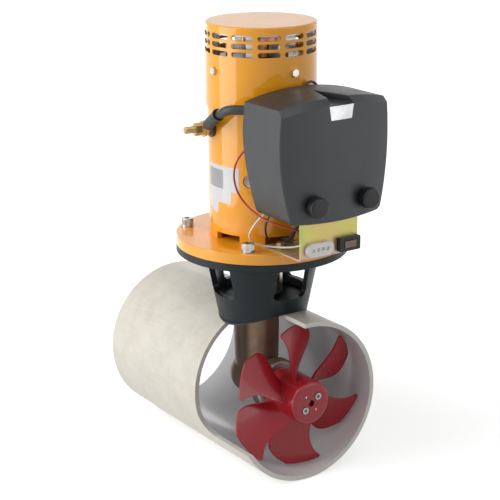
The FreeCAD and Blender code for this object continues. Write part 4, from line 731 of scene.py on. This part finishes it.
threads = {
    "terminalThread": {"finish": "brass", "slot": "stainless", "foot": polar(85.0, 170, 130),
                       "turn": (0, 90, 170), "radius": 3.84, "length": 11.2, "turns": 9.0},
    "contactorThread1": {"finish": "copper", "slot": "copper", "foot": (-9, -107, 151.2), "turn": (0, 0, 0),
                         "radius": 2.86, "length": 8.4, "turns": 8.4},
    "contactorThread2": {"finish": "copper", "slot": "copper", "foot": (22, -107, 151.2), "turn": (0, 0, 0),
                         "radius": 2.86, "length": 8.4, "turns": 8.4},
}
for name, s in threads.items():
    foot = s["foot"]
    grow(name, threadTree(s["finish"]), bpy.data.meshes.new(name + "Start"), slot=s["slot"], **{
        "Turns": s["turns"], "Radius": s["radius"] * mm, "Length": s["length"] * mm,
        "Place": (foot[0] * mm, foot[1] * mm, deck + foot[2] * mm),
        "Turn": tuple(math.radians(a) for a in s["turn"])})

strands = {
    "Density": 11000.0, "Length": 0.030, "Thickness": 0.00013, "Radius": 0.09744, "Seed": 7,
    "Shortest": 0.5, "Longest": 1.3,
}
strandArea = {
    "front": -0.075, "back": 0.122, "bracket": 0.075, "windowBack": 0.022, "windowSill": -0.068,
    "columns": 180, "rows": 60,
}


def strandGround(s):
    # the outside of the tunnel, left open at its window and under the bracket
    mesh = bpy.data.meshes.new("strandGround")
    vertices, faces = [], []
    columns, rows, radius = s["columns"], s["rows"], strands["Radius"]
    for row in range(rows + 1):
        y = s["front"] + (s["back"] - s["front"]) * row / rows
        for k in range(columns):
            angle = 2 * math.pi * k / columns
            vertices.append((radius * math.sin(angle), y, radius * math.cos(angle)))
    for row in range(rows):
        for k in range(columns):
            face = (row * columns + k, row * columns + (k + 1) % columns,
                    (row + 1) * columns + (k + 1) % columns, (row + 1) * columns + k)
            x, y, z = [sum(vertices[i][axis] for i in face) / 4 for axis in range(3)]
            underBracket = z > 0 and math.hypot(x, y) < s["bracket"]
            inWindow = x < 0 and y < s["windowBack"] and z > s["windowSill"]
            if not underBracket and not inWindow:
                faces.append(face)
    mesh.from_pydata(vertices, [], faces)
    return mesh


def strandTree():
    tree = Growth("looseStrands", strands)
    points = tree.add("GeometryNodeDistributePointsOnFaces", {
        "Mesh": tree.start.outputs["Geometry"], "Density": "Density", "Seed": "Seed"})
    half = tree.math("MULTIPLY", tree.start.outputs["Length"], -0.5)
    step = tree.math("MULTIPLY", tree.start.outputs["Length"], 0.2)
    foot = tree.add("ShaderNodeCombineXYZ", {0: half})
    offset = tree.add("ShaderNodeCombineXYZ", {0: step})
    line = tree.add("GeometryNodeMeshLine", {
        "Count": 6, "Start Location": foot.outputs[0], "Offset": offset.outputs[0]})
    strand = tree.add("GeometryNodeMeshToCurve", {"Mesh": line.outputs[0]})
    upright = tree.add("FunctionNodeAlignRotationToVector", {"Vector": points.outputs["Normal"]}, axis="Z")
    anyTurn = tree.add("FunctionNodeRandomValue", {
        "Min": (0, 0, 0), "Max": (0, 0, 2 * math.pi), "Seed": "Seed"}, data_type="FLOAT_VECTOR")
    spin = tree.add("FunctionNodeEulerToRotation", {"Euler": anyTurn.outputs[0]})
    turn = tree.add("FunctionNodeRotateRotation", {
        "Rotation": upright.outputs[0], "Rotate By": spin.outputs[0]}, rotation_space="LOCAL")
    anySize = tree.add("FunctionNodeRandomValue", {
        2: "Shortest", 3: "Longest", "Seed": "Seed"}, data_type="FLOAT")
    laid = tree.add("GeometryNodeInstanceOnPoints", {
        "Points": points.outputs[0], "Instance": strand.outputs[0], "Rotation": turn.outputs[0],
        "Scale": anySize.outputs[1]})
    real = tree.add("GeometryNodeRealizeInstances", {"Geometry": laid.outputs[0]})
    # press every point back on to the round wall
    where = tree.add("GeometryNodeInputPosition")
    parts = tree.add("ShaderNodeSeparateXYZ", {0: where.outputs[0]})
    flat = tree.add("ShaderNodeCombineXYZ", {0: parts.outputs[0], 2: parts.outputs[2]})
    unit = tree.add("ShaderNodeVectorMath", {0: flat.outputs[0]}, operation="NORMALIZE")
    onWall = tree.add("ShaderNodeVectorMath", {0: unit.outputs[0]}, operation="SCALE")
    tree.link(tree.start.outputs["Radius"], onWall.inputs["Scale"])
    along = tree.add("ShaderNodeCombineXYZ", {1: parts.outputs[1]})
    place = tree.add("ShaderNodeVectorMath", {0: onWall.outputs[0], 1: along.outputs[0]}, operation="ADD")
    pressed = tree.add("GeometryNodeSetPosition", {"Geometry": real.outputs[0], "Position": place.outputs[0]})
    profile = tree.add("GeometryNodeCurvePrimitiveCircle", {"Resolution": 3, "Radius": "Thickness"})
    tube = tree.add("GeometryNodeCurveToMesh", {
        "Curve": pressed.outputs[0], "Profile Curve": profile.outputs[0], "Fill Caps": True})
    tree.close(tube.outputs[0], "looseStrand")
    return tree


grow("laminateStrands", strandTree(), strandGround(strandArea), slot="glass_fibre")
print("grown pieces ready")

lights = {
    "softLeft": {
        "azimuth": -107, "height": 0.56, "distance": 0.95, "width": 0.80,
        "tall": 1.3, "power": 10.5, "aim": 0.3,
    },
    "softBack": {
        "azimuth": 164, "height": 0.35, "distance": 1.3, "width": 0.8,
        "tall": 0.32, "power": 1.5, "aim": 0.25,
    },
    "softRight": {
        "azimuth": 30, "height": 0.8, "distance": 2.2, "width": 1.2,
        "tall": 1.4, "power": 11, "aim": 0.15,
    },
    "softTop": {
        "azimuth": -30, "height": 2.3, "distance": 0.9, "width": 1.6,
        "tall": 1.6, "power": 12, "aim": 0.15,
    },
}


def placeLight(name, s):
    data = bpy.data.lights.new(name, "AREA")
    data.shape = "RECTANGLE"
    data.size = s["width"]
    data.size_y = s["tall"]
    data.energy = s["power"]
    lamp = linked(name, data)
    lamp.visible_camera = False
    around = math.radians(s["azimuth"])
    aim = Vector((0, 0, s["aim"]))
    lamp.location = (math.sin(around) * s["distance"], -math.cos(around) * s["distance"], s["height"])
    lamp.rotation_mode = "QUATERNION"
    lamp.rotation_quaternion = (aim - lamp.location).to_track_quat("-Z", "Y")


def litByRay(tree, background):
    # 1 where the camera, a mirror or glass looks, and background elsewhere
    path = tree.nodes.new("ShaderNodeLightPath")
    total = path.outputs["Is Camera Ray"]
    for key in ("Is Glossy Ray", "Is Transmission Ray"):
        step = tree.nodes.new("ShaderNodeMath")
        step.operation = "MAXIMUM"
        tree.links.new(total, step.inputs[0])
        tree.links.new(path.outputs[key], step.inputs[1])
        total = step.outputs[0]
    span = tree.nodes.new("ShaderNodeMapRange")
    span.inputs["To Min"].default_value = background
    span.inputs["To Max"].default_value = 1.0
    tree.links.new(total, span.inputs["Value"])
    return span.outputs["Result"]


room = {"ambient": 0.22, "floorHalf": 12, "glowNear": 0.62, "glowFar": 1.0, "nearEdge": 0.25, "farEdge": 1.0}


def makeRoom(s):
    world = bpy.data.worlds.new("room")
    world.use_nodes = True
    bpy.context.scene.world = world
    back = world.node_tree.nodes["Background"]
    back.inputs["Color"].default_value = (1, 1, 1, 1)
    world.node_tree.links.new(litByRay(world.node_tree, s["ambient"]), back.inputs["Strength"])
    for name, lamp in lights.items():
        placeLight(name, lamp)
    half = s["floorHalf"]
    z = cadLow.z - 0.0004
    mesh = bpy.data.meshes.new("floor")
    corners = [(-half, -half, z), (half, -half, z), (half, half, z), (-half, half, z)]
    mesh.from_pydata(corners, [], [(0, 1, 2, 3)])
    floor = linked("floor", mesh)
    f = Finish("paleFloor", (0.7, 0.7, 0.7), 0.9, specular=0.0)
    f.colour(f.ramp(f.noise(3, 2), [(0.3, (0.69, 0.69, 0.69)), (0.7, (0.71, 0.71, 0.71))]))
    # the sweep goes to white away from the object
    away = f.add("ShaderNodeVectorMath", operation="LENGTH")
    f.link(f.coords, away.inputs[0])
    glow = f.spread(away.outputs["Value"], s["nearEdge"], s["farEdge"], s["glowNear"], s["glowFar"])
    f.shader.inputs["Emission Color"].default_value = (1, 1, 1, 1)
    f.link(f.math("MULTIPLY", litByRay(f.tree, 0.0), glow), f.shader.inputs["Emission Strength"])
    floor.data.materials.append(f.material)
    bpy.context.scene.view_settings.view_transform = "Standard"


makeRoom(room)
print("room ready")
